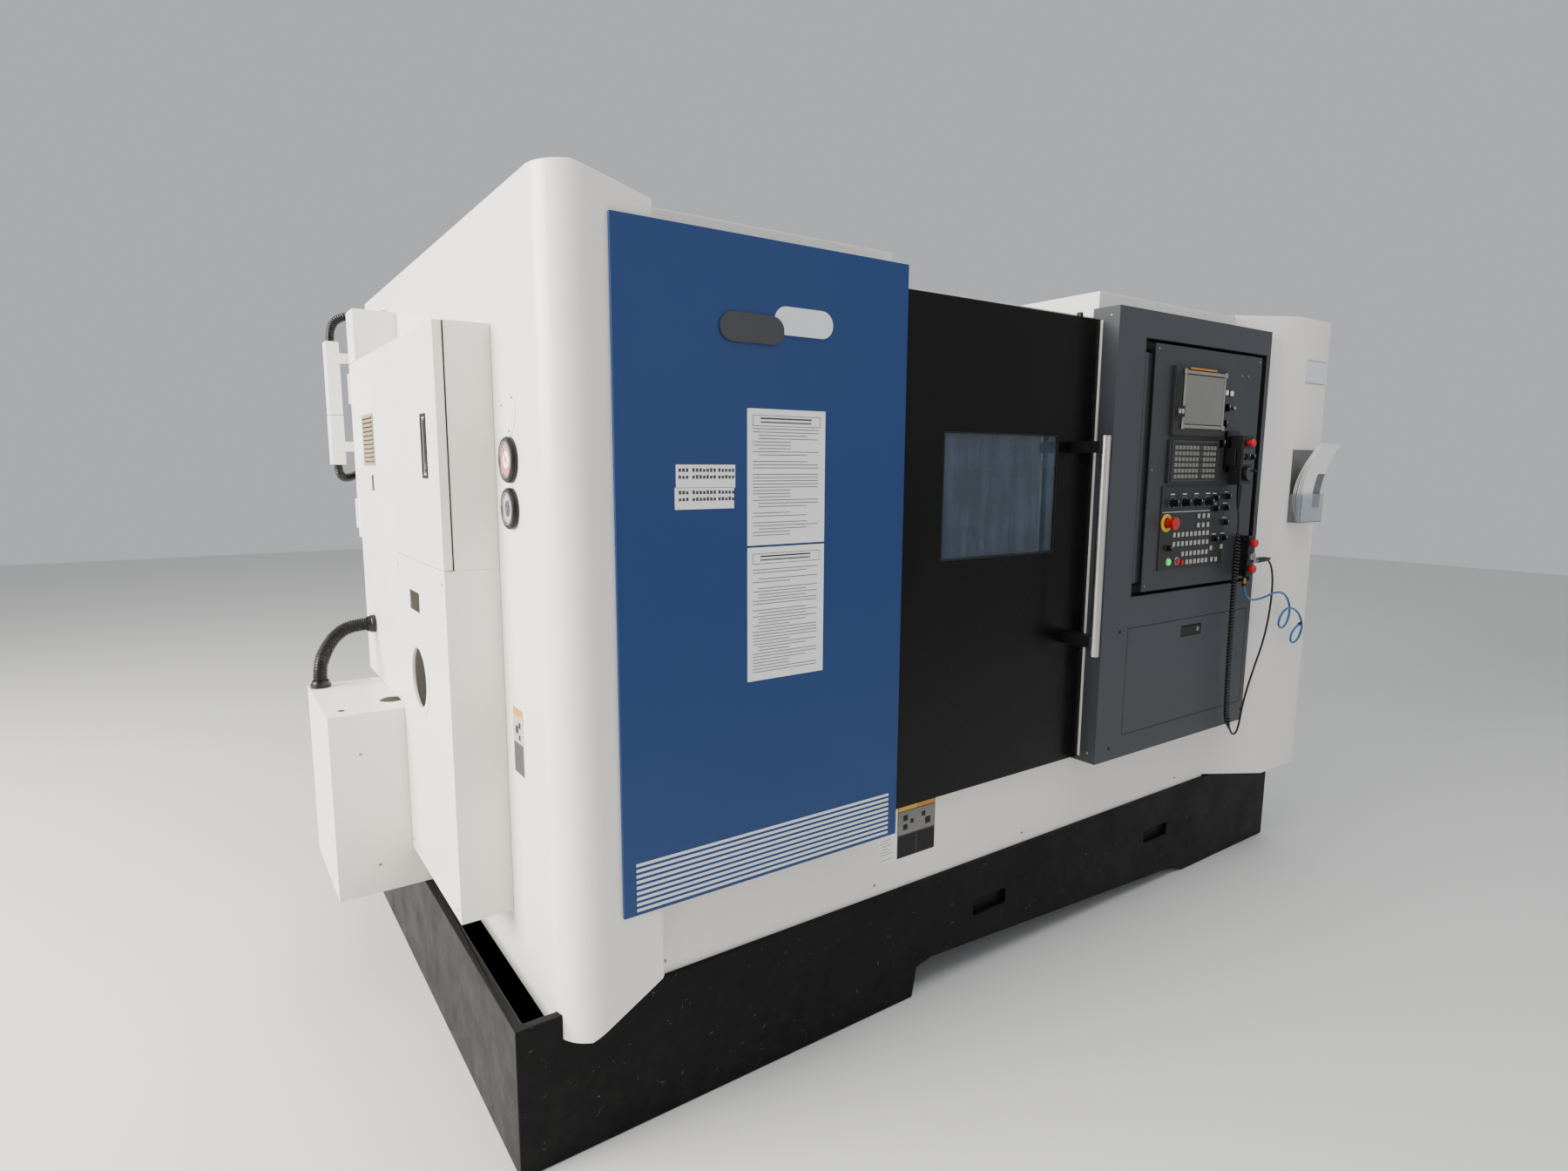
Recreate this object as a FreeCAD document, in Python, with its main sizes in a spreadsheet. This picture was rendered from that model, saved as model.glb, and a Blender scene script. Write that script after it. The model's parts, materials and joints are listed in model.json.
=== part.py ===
import FreeCAD, Part
import Sketcher
import math
import os
from FreeCAD import Placement, Rotation, Vector

# CNC slant-bed turning lathe, about 3.3 m wide, 1.9 m deep and 2.05 m tall.
# Lengths are in millimetres and angles in degrees.
# The dimensions are taken from a datum at the lower left corner of the fixed front
# panel's face, dropped to the floor: +X runs right, +Y into the machine and +Z up.
# origin_x and origin_y move that datum to the middle of the footprint.
# Pieces of the slanted bed are drawn about the spindle axis, in a frame turned by
# bed_slant, whose Y runs up the slope and whose Z stands square to the bed.

DIMENSIONS = {
    "origin_x": 1214, "origin_y": 842,
    "base_left": -219, "base_right": 2861, "base_front": 63, "base_rear": 1700,
    "base_top": 340, "base_wall": 22, "base_step_left": 901, "base_step_right": 974,
    "base_clearance": 97, "base_foot_left": 2278, "base_foot_rise": 27,
    "tank_rear": 700, "tank_floor": 14, "tank_right": 880, "base_deck": 30,
    "fork_slot_width": 140, "fork_slot_height": 45, "fork_slot_bottom": 173,
    "fork_slot_a": 1143, "fork_slot_b": 2011, "fork_slot_depth": 90,
    "sheet": 4, "gap": 0.3,
    "side_x": -125, "column_front": 8, "column_right": 93, "column_radius": 88,
    "column_bottom": 285, "column_bottom_right": 379, "column_top": 2052,
    "column_top_right": 2006, "side_rear": 1780, "side_top_rear": 2038,
    "wall_y": 75, "wall_right": 2387, "wall_top": 1930,
    "opening_left": 800, "opening_right": 1540, "opening_low": 640, "opening_high": 1870,
    "roof_top": 2012, "roof_left_end": 777, "roof_low": 1934, "roof_inset": 10, "roof_right": 1612,
    "cover_right": 2391, "cover_top": 2018,
    "end_nose": 2593, "end_front": -43, "end_right": 2835, "end_bottom": 344, "end_top": 2024,
    "rear_panel": 10,
    "panel_right": 764, "panel_bottom": 547, "panel_top": 1970, "panel_return": 28,
    "door_left": 720, "door_right": 1577, "door_bottom": 586, "door_top": 1927,
    "door_front": 47, "door_back": 69, "door_skin": 3,
    "window_left": 945, "window_right": 1414, "window_bottom": 1243, "window_top": 1587,
    "window_frame": 15, "pane_front": 53, "pane": 6,
    "handle_x": 1490, "handle_y": -55, "handle_radius": 14, "handle_bottom": 938,
    "handle_top": 1585, "bracket_low": 965, "bracket_high": 1536, "bracket_tall": 33,
    "bracket_left": 1466, "bracket_right": 1512,
    "housing_left": 1580, "housing_right": 2465, "housing_front": -16,
    "housing_bottom": 572, "housing_top": 1962,
    "recess_left": 1719, "recess_right": 2440, "recess_bottom": 1091, "recess_top": 1881,
    "recess_back": 50,
    "hatch_left": 1716, "hatch_right": 2437, "hatch_bottom": 646, "hatch_top": 991,
    "hatch_gap": 0.8,
    "latch_left": 2017, "latch_right": 2141, "latch_bottom": 930, "latch_top": 968,
    "plate_left": 1761, "plate_right": 2395, "plate_bottom": 1105, "plate_top": 1868,
    "plate_front": -24, "plate_skin": 3, "plate_depth": 40,
    "hinge_radius": 9, "hinge_y": -10,
    "display_left": 1857, "display_right": 2150, "display_bottom": 1594,
    "display_top": 1808, "display_front": -38,
    "keypad_left": 1853, "keypad_right": 2137, "keypad_bottom": 1445,
    "keypad_top": 1582, "keypad_front": -34,
    "keys_left": 1837, "keys_right": 2217, "keys_bottom": 1167, "keys_top": 1436,
    "keys_front": -28,
    "stop_x": 1868, "stop_z": 1319, "stop_head_radius": 20, "stop_head_front": -66,
    "stop_stem_radius": 11, "stop_head_thick": 15,
    "start_x": 1891, "hold_x": 1942, "button_z": 1193, "button_radius": 10,
    "button_front": -36, "stem_back": -20,
    "knob_first_x": 1895, "knob_pitch": 69, "knob_z": 1382, "knob_radius": 13,
    "knob_front": -50,
    "pendant_left": 2195, "pendant_right": 2262, "pendant_bottom": 1438,
    "pendant_top": 1600, "pendant_front": -84, "pendant_back": -40,
    "dial_z": 1475, "dial_radius": 24, "dial_front": -98,
    "pendant_stop_z": 1576, "pendant_stop_radius": 13, "pendant_stop_front": -106,
    "pendant_sink": 8,
    "valve_left": 2318, "valve_right": 2352, "valve_bottom": 1120, "valve_top": 1260,
    "valve_front": -66, "outlet_y": -52, "socket_y": -60, "socket_z": 1172,
    "socket_end": 2440,
    "coil_diameter": 22, "lead_diameter": 7, "hose_diameter": 8,
    "cabinet_left": -245, "cabinet_front": 350, "cabinet_rear": 1400,
    "cabinet_bottom": 1265, "cabinet_top": 1795, "cabinet_door_thick": 22,
    "chute_rear": 848, "chute_bottom": 450,
    "bar_hole_radius": 75, "bar_ring_radius": 92,
    "square_hole_low_y": 606, "square_hole_high_y": 714,
    "square_hole_low_z": 1135, "square_hole_high_z": 1185,
    "knuckle_radius": 6, "knuckle_tall": 90,
    "cabinet_latch_y": 470, "cabinet_latch_low": 1473, "cabinet_latch_high": 1596,
    "low_box_left": -433, "low_box_front": 850, "low_box_rear": 1250, "low_box_top": 845,
    "riser_front": 1290, "riser_top": 1945, "lower_left": -238,
    "duct_left": -306, "duct_right": -268, "duct_front": 1405, "duct_rear": 1465,
    "duct_bottom": 1490, "duct_top": 1860, "small_conduit": 26, "large_conduit": 40,
    "gauge_y": 244, "gauge_high": 1505, "gauge_low": 1403, "gauge_radius": 48,
    "gauge_depth": 10,
    "bed_slant": 45, "spindle_y": 635, "spindle_z": 972,
    "bed_left": 140, "bed_right": 2270, "bed_drop": 260, "bed_low": 250, "bed_high": 550,
    "bed_rear": 1450, "bed_foot": 760,
    "rail_thick": 30, "rail_width": 45, "rail_left": 770, "rail_right": 2250,
    "rail_tail_low": -205, "rail_tail_high": 15, "rail_saddle_low": 170,
    "rail_saddle_high": 430,
    "head_left": 150, "head_right": 690, "head_reach": 190,
    "spindle_radius": 70, "spindle_bore": 33, "spindle_left": 40, "spindle_flange": 112,
    "stator_radius": 140, "stator_bore": 100, "stator_left": 250, "stator_right": 520,
    "running_fit": 0.05,
    "chuck_face": 805, "chuck_radius": 127, "chuck_bore": 40,
    "jaw_width": 40, "jaw_inner": 48, "jaw_outer": 120, "jaw_reach": 45,
    "clamp_radius": 88, "clamp_left": -80,
    "screw_radius": 12, "screw_u": 322, "screw_drop": 246, "screw_left": 782,
    "screw_right": 2240, "motor_long": 190, "motor_half": 62,
    "saddle_left": 1232, "saddle_right": 1552, "saddle_low": 140, "saddle_high": 505,
    "saddle_thick": 80,
    "slide_low": 180, "slide_high": 470, "slide_thick": 60, "slide_inset": 15,
    "turret_u": 330, "turret_half": 100, "turret_left": 1230, "turret_right": 1450,
    "turret_tall": 110, "disc_thick": 100, "disc_flat": 150, "stations": 12,
    "holder_tall": 45, "holder_wide": 44, "tool_radius": 10, "tool_long": 45,
    "tail_left": 1700, "tail_right": 2000, "tail_low": -220, "tail_high": 70,
    "tail_radius": 80, "quill_radius": 40, "quill_out": 90, "centre_long": 70,
}

# Cord routes, from the datum. Each is a list of points chosen by hand.
UPPER_LEAD = [
    (2231.5, -64, 1398), (2231.5, -64, 1370), (2241, -62, 1344), (2250.7, -60, 1318),
    (2251.3, -60, 1282),
]
COIL_ROUTE = [
    (2251.3, -60, 1282), (2254, -60, 1100), (2258, -60, 920), (2263, -60, 770),
    (2268, -60, 670), (2276, -60, 604), (2302, -60, 572),
]
LOWER_LEAD = [
    (2302, -60, 572), (2322, -60, 547.4), (2350, -60, 552), (2364, -60, 586),
    (2374, -60, 640), (2402, -60, 712), (2440, -60, 784), (2482, -60, 856),
    (2510, -60, 936), (2522, -60, 1016), (2522, -60, 1086), (2506, -60, 1140),
    (2474, -60, 1172), (2440, -60, 1172),
]
HOSE_ROUTE = [
    (2335, -52, 1106), (2335, -52, 1068), (2358, -56, 1038), (2402, -60, 1028),
    (2452, -72, 1038), (2504, -80, 1052), (2560, -81, 1046), (2608, -80, 1016),
    (2626, -81, 970), (2604, -83, 928), (2562, -84, 912), (2526, -88, 932),
    (2536, -92, 972), (2582, -93, 992), (2636, -92, 980), (2688, -90, 950),
    (2718, -88, 904), (2700, -86, 862), (2658, -86, 846), (2622, -90, 866),
    (2632, -94, 906), (2678, -96, 922),
]
LOWER_CONDUIT = [
    (-200, 1425, 1472), (-200, 1452, 1472), (-228, 1468, 1460), (-262, 1458, 1446),
    (-287, 1436, 1458), (-287, 1436, 1490),
]
UPPER_CONDUIT = [
    (-287, 1436, 1860), (-287, 1436, 1900), (-262, 1436, 1936), (-200, 1436, 1948),
    (-145, 1436, 1948),
]
BOX_CONDUIT = [
    (-262, 1262, 1010), (-304, 1262, 1010), (-348, 1256, 988), (-382, 1240, 946),
    (-402, 1212, 905), (-402, 1212, 865),
]

doc = FreeCAD.newDocument("turning_lathe")


class Size:
    """A length with its value and the expression that the document holds for it."""

    def __init__(self, value, text):
        self.value = float(value)
        self.text = text

    @staticmethod
    def of(item):
        if isinstance(item, Size):
            return item
        return Size(item, repr(round(float(item), 6)))

    def __add__(self, other):
        other = Size.of(other)
        return Size(self.value + other.value, f"({self.text} + {other.text})")

    def __sub__(self, other):
        other = Size.of(other)
        return Size(self.value - other.value, f"({self.text} - {other.text})")

    def __rsub__(self, other):
        return Size.of(other) - self

    def __mul__(self, other):
        other = Size.of(other)
        return Size(self.value * other.value, f"({self.text} * {other.text})")

    def __truediv__(self, other):
        other = Size.of(other)
        return Size(self.value / other.value, f"({self.text} / {other.text})")

    def __neg__(self):
        return Size(-self.value, f"(-1 * {self.text})")

    __radd__ = __add__
    __rmul__ = __mul__


def cosine(angle):
    return Size(math.cos(math.radians(angle.value)), f"cos({angle.text} * 1 deg)")


def sine(angle):
    return Size(math.sin(math.radians(angle.value)), f"sin({angle.text} * 1 deg)")


class Dimensions:
    """The spreadsheet of driving dimensions, read as attributes."""

    def __init__(self, values):
        sheet = doc.addObject("Spreadsheet::Sheet", "Dims")
        for row, (alias, value) in enumerate(values.items(), 1):
            sheet.set(f"A{row}", alias)
            sheet.set(f"B{row}", str(value))
            sheet.setAlias(f"B{row}", alias)
            setattr(self, alias, Size(value, f"Dims.{alias}"))
        doc.recompute()


d = Dimensions(DIMENSIONS)
nodes = []
ROLE_SIGN = {"XY_Plane": 1, "XZ_Plane": -1, "YZ_Plane": 1}


def bind(item, prop, size):
    item.setExpression(prop, Size.of(size).text)


def place(item, x=0, y=0, z=0, slanted=False):
    """Put an item's local origin at a point taken from the datum."""
    if slanted:
        item.Placement = Placement(Vector(), Rotation(Vector(1, 0, 0), d.bed_slant.value))
        bind(item, "Placement.Rotation.Angle", d.bed_slant)
        y, z = y + d.spindle_y, z + d.spindle_z
    bind(item, "Placement.Base.x", Size.of(x) - d.origin_x)
    bind(item, "Placement.Base.y", Size.of(y) - d.origin_y)
    bind(item, "Placement.Base.z", Size.of(z))


def on_slope(u, v):
    """The (y, z) of a point u up the slope and v off the bed from the spindle axis."""
    run, rise = cosine(d.bed_slant), sine(d.bed_slant)
    return (d.spindle_y + u * run - v * rise, d.spindle_z + u * rise + v * run)


def node(item, label):
    item.Label = label
    nodes.append(item)
    return item


class Piece:
    """A PartDesign body built from sketches on its own origin planes."""

    def __init__(self, label, slanted=False):
        self.label = label
        self.body = node(doc.addObject("PartDesign::Body", label), label)
        self.count = 0
        place(self.body, slanted=slanted)

    def name(self, kind):
        self.count += 1
        return f"{self.label}_{kind}_{self.count}"

    def plane(self, role):
        features = self.body.Origin.OriginFeatures
        return next(item for item in features if item.Role == role)

    def sketch(self, role, outlines, level):
        """Closed outlines on a plane at a level along that plane's own axis."""
        sketch = self.body.newObject("Sketcher::SketchObject", self.name("sketch"))
        sketch.AttachmentSupport = (self.plane(role), [""])
        sketch.MapMode = "FlatFace"
        bind(sketch, "AttachmentOffset.Base.z", Size.of(level) * ROLE_SIGN[role])
        for outline in outlines:
            draw(sketch, outline)
        return sketch

    def pad(self, role, outlines, low, high):
        """Material between two levels along the plane's axis."""
        start = high if role == "XZ_Plane" else low
        sketch = self.sketch(role, outlines, start)
        feature = self.body.newObject("PartDesign::Pad", self.name("pad"))
        feature.Profile = sketch
        bind(feature, "Length", Size.of(high) - low)
        doc.recompute()
        return feature

    def pocket(self, role, outlines, low, high):
        """Material taken away between two levels along the plane's axis."""
        before = self.body.Shape.Volume
        start = low if role == "XZ_Plane" else high
        sketch = self.sketch(role, outlines, start)
        feature = self.body.newObject("PartDesign::Pocket", self.name("pocket"))
        feature.Profile = sketch
        bind(feature, "Length", Size.of(high) - low)
        doc.recompute()
        if self.body.Shape.Volume > before - 0.01:
            raise RuntimeError(f"{feature.Label} removes nothing")
        return feature

    def turn(self, outlines, level=0):
        """Material swept right round the local X axis from an XZ outline."""
        sketch = self.sketch("XZ_Plane", outlines, level)
        feature = self.body.newObject("PartDesign::Revolution", self.name("turned"))
        feature.Profile = sketch
        feature.ReferenceAxis = (self.axis("X_Axis"), [""])
        feature.Angle = 360
        doc.recompute()
        return feature

    def axis(self, role):
        return next(item for item in self.body.Origin.OriginFeatures if item.Role == role)

    def repeat(self, features, count, role="X_Axis"):
        """A full circle of copies of features about an origin axis."""
        pattern = self.body.newObject("PartDesign::PolarPattern", self.name("pattern"))
        pattern.Originals = features
        pattern.Axis = (self.axis(role), [""])
        pattern.Angle = 360
        bind(pattern, "Occurrences", count)
        self.body.Tip = pattern
        doc.recompute()
        return pattern


def direction(start, end):
    """Unit step along an axis-aligned side."""
    step_a = end[0].value - start[0].value
    step_b = end[1].value - start[1].value
    length = math.hypot(step_a, step_b)
    return (round(step_a / length), round(step_b / length))


def with_arcs(outline):
    """Points of an outline, each with the radius of the arc that starts there or None.

    A corner given as (a, b, radius) between two axis-aligned sides becomes the two
    ends of its arc.
    """
    corners = [tuple(Size.of(item) for item in corner) for corner in outline]
    points = []
    for index, corner in enumerate(corners):
        if len(corner) == 2:
            points.append((corner, None, True))
            continue
        a, b, radius = corner
        into = direction(corners[index - 1], corner)
        out = direction(corner, corners[(index + 1) % len(corners)])
        left_turn = into[0] * out[1] - into[1] * out[0] > 0
        points.append(((a - radius * into[0], b - radius * into[1]), radius, left_turn))
        points.append(((a + radius * out[0], b + radius * out[1]), None, True))
    return points


def arc_between(start, end, radius, left_turn):
    """Quarter arc in the sketch plane, always counter-clockwise."""
    first, last = (start, end) if left_turn else (end, start)
    chord = Vector(last[0].value - first[0].value, last[1].value - first[1].value, 0)
    middle = Vector((first[0].value + last[0].value) / 2,
                    (first[1].value + last[1].value) / 2, 0)
    inward = Vector(-chord.y, chord.x, 0).normalize()
    depth = math.sqrt(max(radius.value ** 2 - (chord.Length / 2) ** 2, 0))
    centre = middle + inward * depth
    from_angle = math.atan2(first[1].value - centre.y, first[0].value - centre.x)
    to_angle = math.atan2(last[1].value - centre.y, last[0].value - centre.x)
    circle = Part.Circle(centre, Vector(0, 0, 1), radius.value)
    return Part.ArcOfCircle(circle, from_angle, to_angle)


def draw(sketch, outline):
    """Add a closed outline of corners, or a circle."""
    if isinstance(outline, Round):
        circle = Part.Circle(Vector(outline.a.value, outline.b.value, 0),
                             Vector(0, 0, 1), outline.radius.value)
        index = sketch.addGeometry(circle, False)
        fix(sketch, "DistanceX", (index, 3), outline.a)
        fix(sketch, "DistanceY", (index, 3), outline.b)
        fix(sketch, "Radius", (index,), outline.radius)
        return
    points = with_arcs(outline)
    first = sketch.GeometryCount
    count = len(points)
    ends = []
    for index, (start, radius, left_turn) in enumerate(points):
        end = points[(index + 1) % count][0]
        if radius is None:
            side = Part.LineSegment(Vector(start[0].value, start[1].value, 0),
                                    Vector(end[0].value, end[1].value, 0))
        else:
            side = arc_between(start, end, radius, left_turn)
        sketch.addGeometry(side, False)
        ends.append((1, 2) if left_turn else (2, 1))
    for index in range(count):
        after = (index + 1) % count
        sketch.addConstraint(Sketcher.Constraint(
            "Coincident", first + index, ends[index][1], first + after, ends[after][0]))
    for index, (start, radius, left_turn) in enumerate(points):
        fix(sketch, "DistanceX", (first + index, ends[index][0]), start[0])
        fix(sketch, "DistanceY", (first + index, ends[index][0]), start[1])
        if radius is not None:
            fix(sketch, "Radius", (first + index,), radius)


def fix(sketch, kind, where, size):
    index = sketch.addConstraint(Sketcher.Constraint(kind, *where, size.value))
    sketch.setExpression(f"Constraints[{index}]", size.text)


class Round:
    """A circle of a sketch."""

    def __init__(self, a, b, radius):
        self.a = Size.of(a)
        self.b = Size.of(b)
        self.radius = Size.of(radius)


def rectangle(a_low, b_low, a_high, b_high):
    return [(a_low, b_low), (a_high, b_low), (a_high, b_high), (a_low, b_high)]


def grown(a_low, b_low, a_high, b_high, by):
    return rectangle(a_low - by, b_low - by, a_high + by, b_high + by)


def box(name, low, high, slanted=False):
    """A block between two opposite corners."""
    item = doc.addObject("Part::Box", name)
    for prop, start, end in zip(("Length", "Width", "Height"), low, high):
        bind(item, prop, Size.of(end) - start)
    if slanted:
        for axis_name, start in zip("xyz", low):
            bind(item, f"Placement.Base.{axis_name}", start)
    else:
        place(item, *low)
    return item


TURNS = {
    "x": Rotation(Vector(0, 1, 0), 90),
    "y": Rotation(Vector(1, 0, 0), -90),
    "z": Rotation(),
}


def rod(name, start, along, radius, length, slanted=False):
    """A cylinder from a start point along an axis."""
    item = doc.addObject("Part::Cylinder", name)
    item.Placement = Placement(Vector(), TURNS[along])
    bind(item, "Radius", radius)
    bind(item, "Height", length)
    if slanted:
        for axis_name, value in zip("xyz", start):
            bind(item, f"Placement.Base.{axis_name}", value)
    else:
        place(item, *start)
    return item


def cone(name, start, radius_start, radius_end, length):
    """A cone along +X from a start point of the slanted frame."""
    item = doc.addObject("Part::Cone", name)
    item.Placement = Placement(Vector(), TURNS["x"])
    bind(item, "Radius1", radius_start)
    bind(item, "Radius2", radius_end)
    bind(item, "Height", length)
    for axis_name, value in zip("xyz", start):
        bind(item, f"Placement.Base.{axis_name}", value)
    return item


def cut(name, base, *tools):
    item = doc.addObject("Part::Cut", name)
    item.Base = base
    item.Tool = tools[0] if len(tools) == 1 else fuse(f"{name}_tools", *tools)
    return item


def fuse(name, *pieces):
    item = doc.addObject("Part::MultiFuse", name)
    item.Shapes = list(pieces)
    return item


def group(name, *pieces):
    """Separate solids that share one node."""
    item = doc.addObject("Part::Compound", name)
    item.Links = list(pieces)
    return item


def route_path(points, label):
    """Straight runs joined by tangent arcs as large as the two runs allow."""
    origin = Vector(d.origin_x.value, d.origin_y.value, 0)
    spots = [Vector(*point) - origin for point in points]
    edges = []
    radii = []
    start = spots[0]
    for before, here, after in zip(spots, spots[1:], spots[2:]):
        into = (here - before).normalize()
        out = (after - here).normalize()
        half_turn = into.getAngle(out) / 2
        trim = 0.45 * min((here - before).Length, (after - here).Length)
        radii.append(trim / math.tan(half_turn))
        arc_start = here - into * trim
        arc_end = here + out * trim
        to_middle = (out - into).normalize()
        middle = here + to_middle * (radii[-1] / math.cos(half_turn) - radii[-1])
        edges.append(Part.LineSegment(start, arc_start).toShape())
        edges.append(Part.Arc(arc_start, middle, arc_end).toShape())
        start = arc_end
    edges.append(Part.LineSegment(start, spots[-1]).toShape())
    print(label, "bend radii", [round(radius) for radius in radii])
    return Part.Wire(edges)


def tube(name, points, diameter):
    """A solid cord along a route, with its volume checked against its length."""
    path = route_path(points, name)
    radius = diameter.value / 2
    start = path.Edges[0]
    ring = Part.makeCircle(radius, start.valueAt(start.FirstParameter),
                           start.tangentAt(start.FirstParameter))
    solid = path.makePipeShell([Part.Wire([ring])], True, False)
    expected = math.pi * radius ** 2 * path.Length
    if abs(solid.Volume - expected) > 0.02 * expected:
        raise RuntimeError(f"{name} does not fill its length")
    item = doc.addObject("Part::Feature", name)
    item.Shape = solid
    return item


# ---------------------------------------------------------------- base and bed


def base_tank():
    """Welded base: coolant tank along the front, hollow cast-in deck behind."""
    piece = Piece("base_tank")
    side = [
        (d.base_left, 0), (d.base_step_left, 0),
        (d.base_step_left + 16, d.base_clearance - 12),
        (d.base_step_right, d.base_clearance),
        (d.base_foot_left - 55, d.base_foot_rise), (d.base_foot_left, 0),
        (d.base_right, 0), (d.base_right, d.base_top), (d.base_left, d.base_top),
    ]
    piece.pad("XZ_Plane", [side], d.base_front, d.base_rear)
    wall = d.base_wall
    piece.pocket("XY_Plane", [rectangle(
        d.base_left + wall, d.base_front + wall, d.tank_right, d.tank_rear)],
        d.tank_floor, d.base_top)
    piece.pocket("XY_Plane", [rectangle(
        d.tank_right + wall, d.base_front + wall, d.base_right - wall, d.tank_rear)],
        d.base_clearance + d.tank_floor, d.base_top)
    middle = (d.base_left + d.base_right) / 2
    for low, high in ((d.base_left + wall, middle - wall / 2),
                      (middle + wall / 2, d.base_right - wall)):
        piece.pocket("XY_Plane", [rectangle(
            low, d.tank_rear + wall, high, d.base_rear - wall)],
            -1, d.base_top - d.base_deck)
    for left in (d.fork_slot_a, d.fork_slot_b):
        slot = rectangle(left, d.fork_slot_bottom, left + d.fork_slot_width,
                         d.fork_slot_bottom + d.fork_slot_height)
        piece.pocket("XZ_Plane", [slot], d.base_front, d.base_front + wall - 4)


def bed_casting():
    """Slant bed standing on the deck, its four box ways cast with it."""
    piece = Piece("bed_casting")
    low_y, low_z = on_slope(-d.bed_low, -d.bed_drop)
    high_y, high_z = on_slope(d.bed_high, -d.bed_drop)
    profile = [
        (low_y, low_z), (high_y, high_z), (d.bed_rear, high_z), (d.bed_rear, d.base_top),
        (d.bed_foot, d.base_top), (d.bed_foot, d.base_top + 110), (low_y, low_z - 70),
    ]
    piece.pad("YZ_Plane", [profile], d.bed_left, d.bed_right)
    core = [
        (high_y - 60, high_z - 140), (d.bed_rear - 50, high_z - 140),
        (d.bed_rear - 50, d.base_top + 60), (d.bed_foot + 120, d.base_top + 60),
        (d.bed_foot + 120, d.base_top + 200),
    ]
    piece.pocket("YZ_Plane", [core], d.bed_left - 1, d.bed_right + 1)
    ways = []
    starts = (d.rail_tail_low, d.rail_tail_high, d.rail_saddle_low, d.rail_saddle_high)
    for start in starts:
        end = start + d.rail_width
        top = d.rail_thick - d.bed_drop
        foot = -d.bed_drop - 5
        ways.append([on_slope(start, foot), on_slope(end, foot),
                     on_slope(end, top), on_slope(start, top)])
    piece.pad("YZ_Plane", ways, d.rail_left, d.rail_right)


# ---------------------------------------------------------------- headstock and spindle


def headstock():
    """Cast headstock with spindle bore and a chamber for the built-in motor."""
    piece = Piece("headstock", slanted=True)
    reach = d.head_reach
    profile = [
        (-reach, -d.bed_drop), (reach, -d.bed_drop), (reach, reach * 0.4),
        (reach * 0.4, reach), (-reach * 0.4, reach), (-reach, reach * 0.4),
    ]
    piece.pad("YZ_Plane", [profile], d.head_left, d.head_right)
    bore = d.spindle_radius + d.running_fit
    piece.pocket("YZ_Plane", [Round(0, 0, bore)], d.head_left - 1, d.head_right + 1)
    piece.pocket("YZ_Plane", [Round(0, 0, d.stator_radius)], d.stator_left, d.stator_right)


def spindle_motor():
    """Stator of the built-in spindle motor, pressed into the headstock."""
    outer = rod("stator_outer", (d.stator_left + d.gap, 0, 0), "x",
                d.stator_radius - d.gap,
                d.stator_right - d.stator_left - d.gap * 2, True)
    inner = rod("stator_inner", (d.stator_left, 0, 0), "x", d.stator_bore,
                d.stator_right - d.stator_left, True)
    place(node(cut("stator", outer, inner), "spindle_motor"), slanted=True)


def spindle():
    """Hollow spindle turned from one bar, with rotor body and nose flange."""
    piece = Piece("spindle", slanted=True)
    rotor = d.stator_bore - 2
    nose = d.head_right + d.gap
    profile = [
        (d.spindle_left, d.spindle_bore), (d.spindle_left, d.spindle_radius),
        (d.stator_left + 15, d.spindle_radius), (d.stator_left + 15, rotor),
        (d.stator_right - 15, rotor), (d.stator_right - 15, d.spindle_radius),
        (nose, d.spindle_radius), (nose, d.spindle_flange),
        (nose + 15, d.spindle_flange), (nose + 15, d.spindle_bore),
    ]
    piece.turn([profile])


def chuck_clamp_cylinder():
    """Hydraulic cylinder that works the chuck, on the spindle's back end."""
    piece = Piece("chuck_clamp_cylinder", slanted=True)
    left, right = d.clamp_left, d.spindle_left
    profile = [
        (left, d.spindle_bore), (left, d.clamp_radius * 0.7),
        (left + 40, d.clamp_radius * 0.7), (left + 40, d.clamp_radius),
        (right - 10, d.clamp_radius), (right - 10, d.spindle_radius),
        (right, d.spindle_radius), (right, d.spindle_bore),
    ]
    piece.turn([profile])


def chuck():
    """Three-jaw power chuck and its stepped jaws."""
    back = d.head_right + d.gap + 15
    piece = Piece("chuck_body", slanted=True)
    profile = [
        (back, d.chuck_bore), (back, d.chuck_radius), (d.chuck_face - 4, d.chuck_radius),
        (d.chuck_face, d.chuck_radius - 4), (d.chuck_face, d.chuck_bore),
    ]
    piece.turn([profile])
    half = d.jaw_width / 2 + d.gap
    slot = piece.pocket("YZ_Plane", [rectangle(
        -half, d.jaw_inner - 12, half, d.chuck_radius + 5)],
        d.chuck_face - 20, d.chuck_face + 1)
    piece.repeat([slot], 3)
    for number in range(3):
        jaw = Piece(f"chuck_jaw_{number + 1}", slanted=True)
        half = d.jaw_width / 2
        profile = [
            (d.chuck_face - 20 + d.gap, d.jaw_inner), (d.chuck_face + d.jaw_reach, d.jaw_inner),
            (d.chuck_face + d.jaw_reach, d.jaw_inner + 26),
            (d.chuck_face + d.jaw_reach * 0.5, d.jaw_inner + 26),
            (d.chuck_face + d.jaw_reach * 0.5, d.jaw_outer),
            (d.chuck_face - 20 + d.gap, d.jaw_outer),
        ]
        jaw.pad("XZ_Plane", [profile], -half, half)
        turn_by = Size.of(120 * number)
        jaw.body.Placement.Rotation = Rotation(Vector(1, 0, 0), d.bed_slant.value + 120 * number)
        bind(jaw.body, "Placement.Rotation.Angle", d.bed_slant + turn_by)


# ---------------------------------------------------------------- slides and turret


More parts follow.
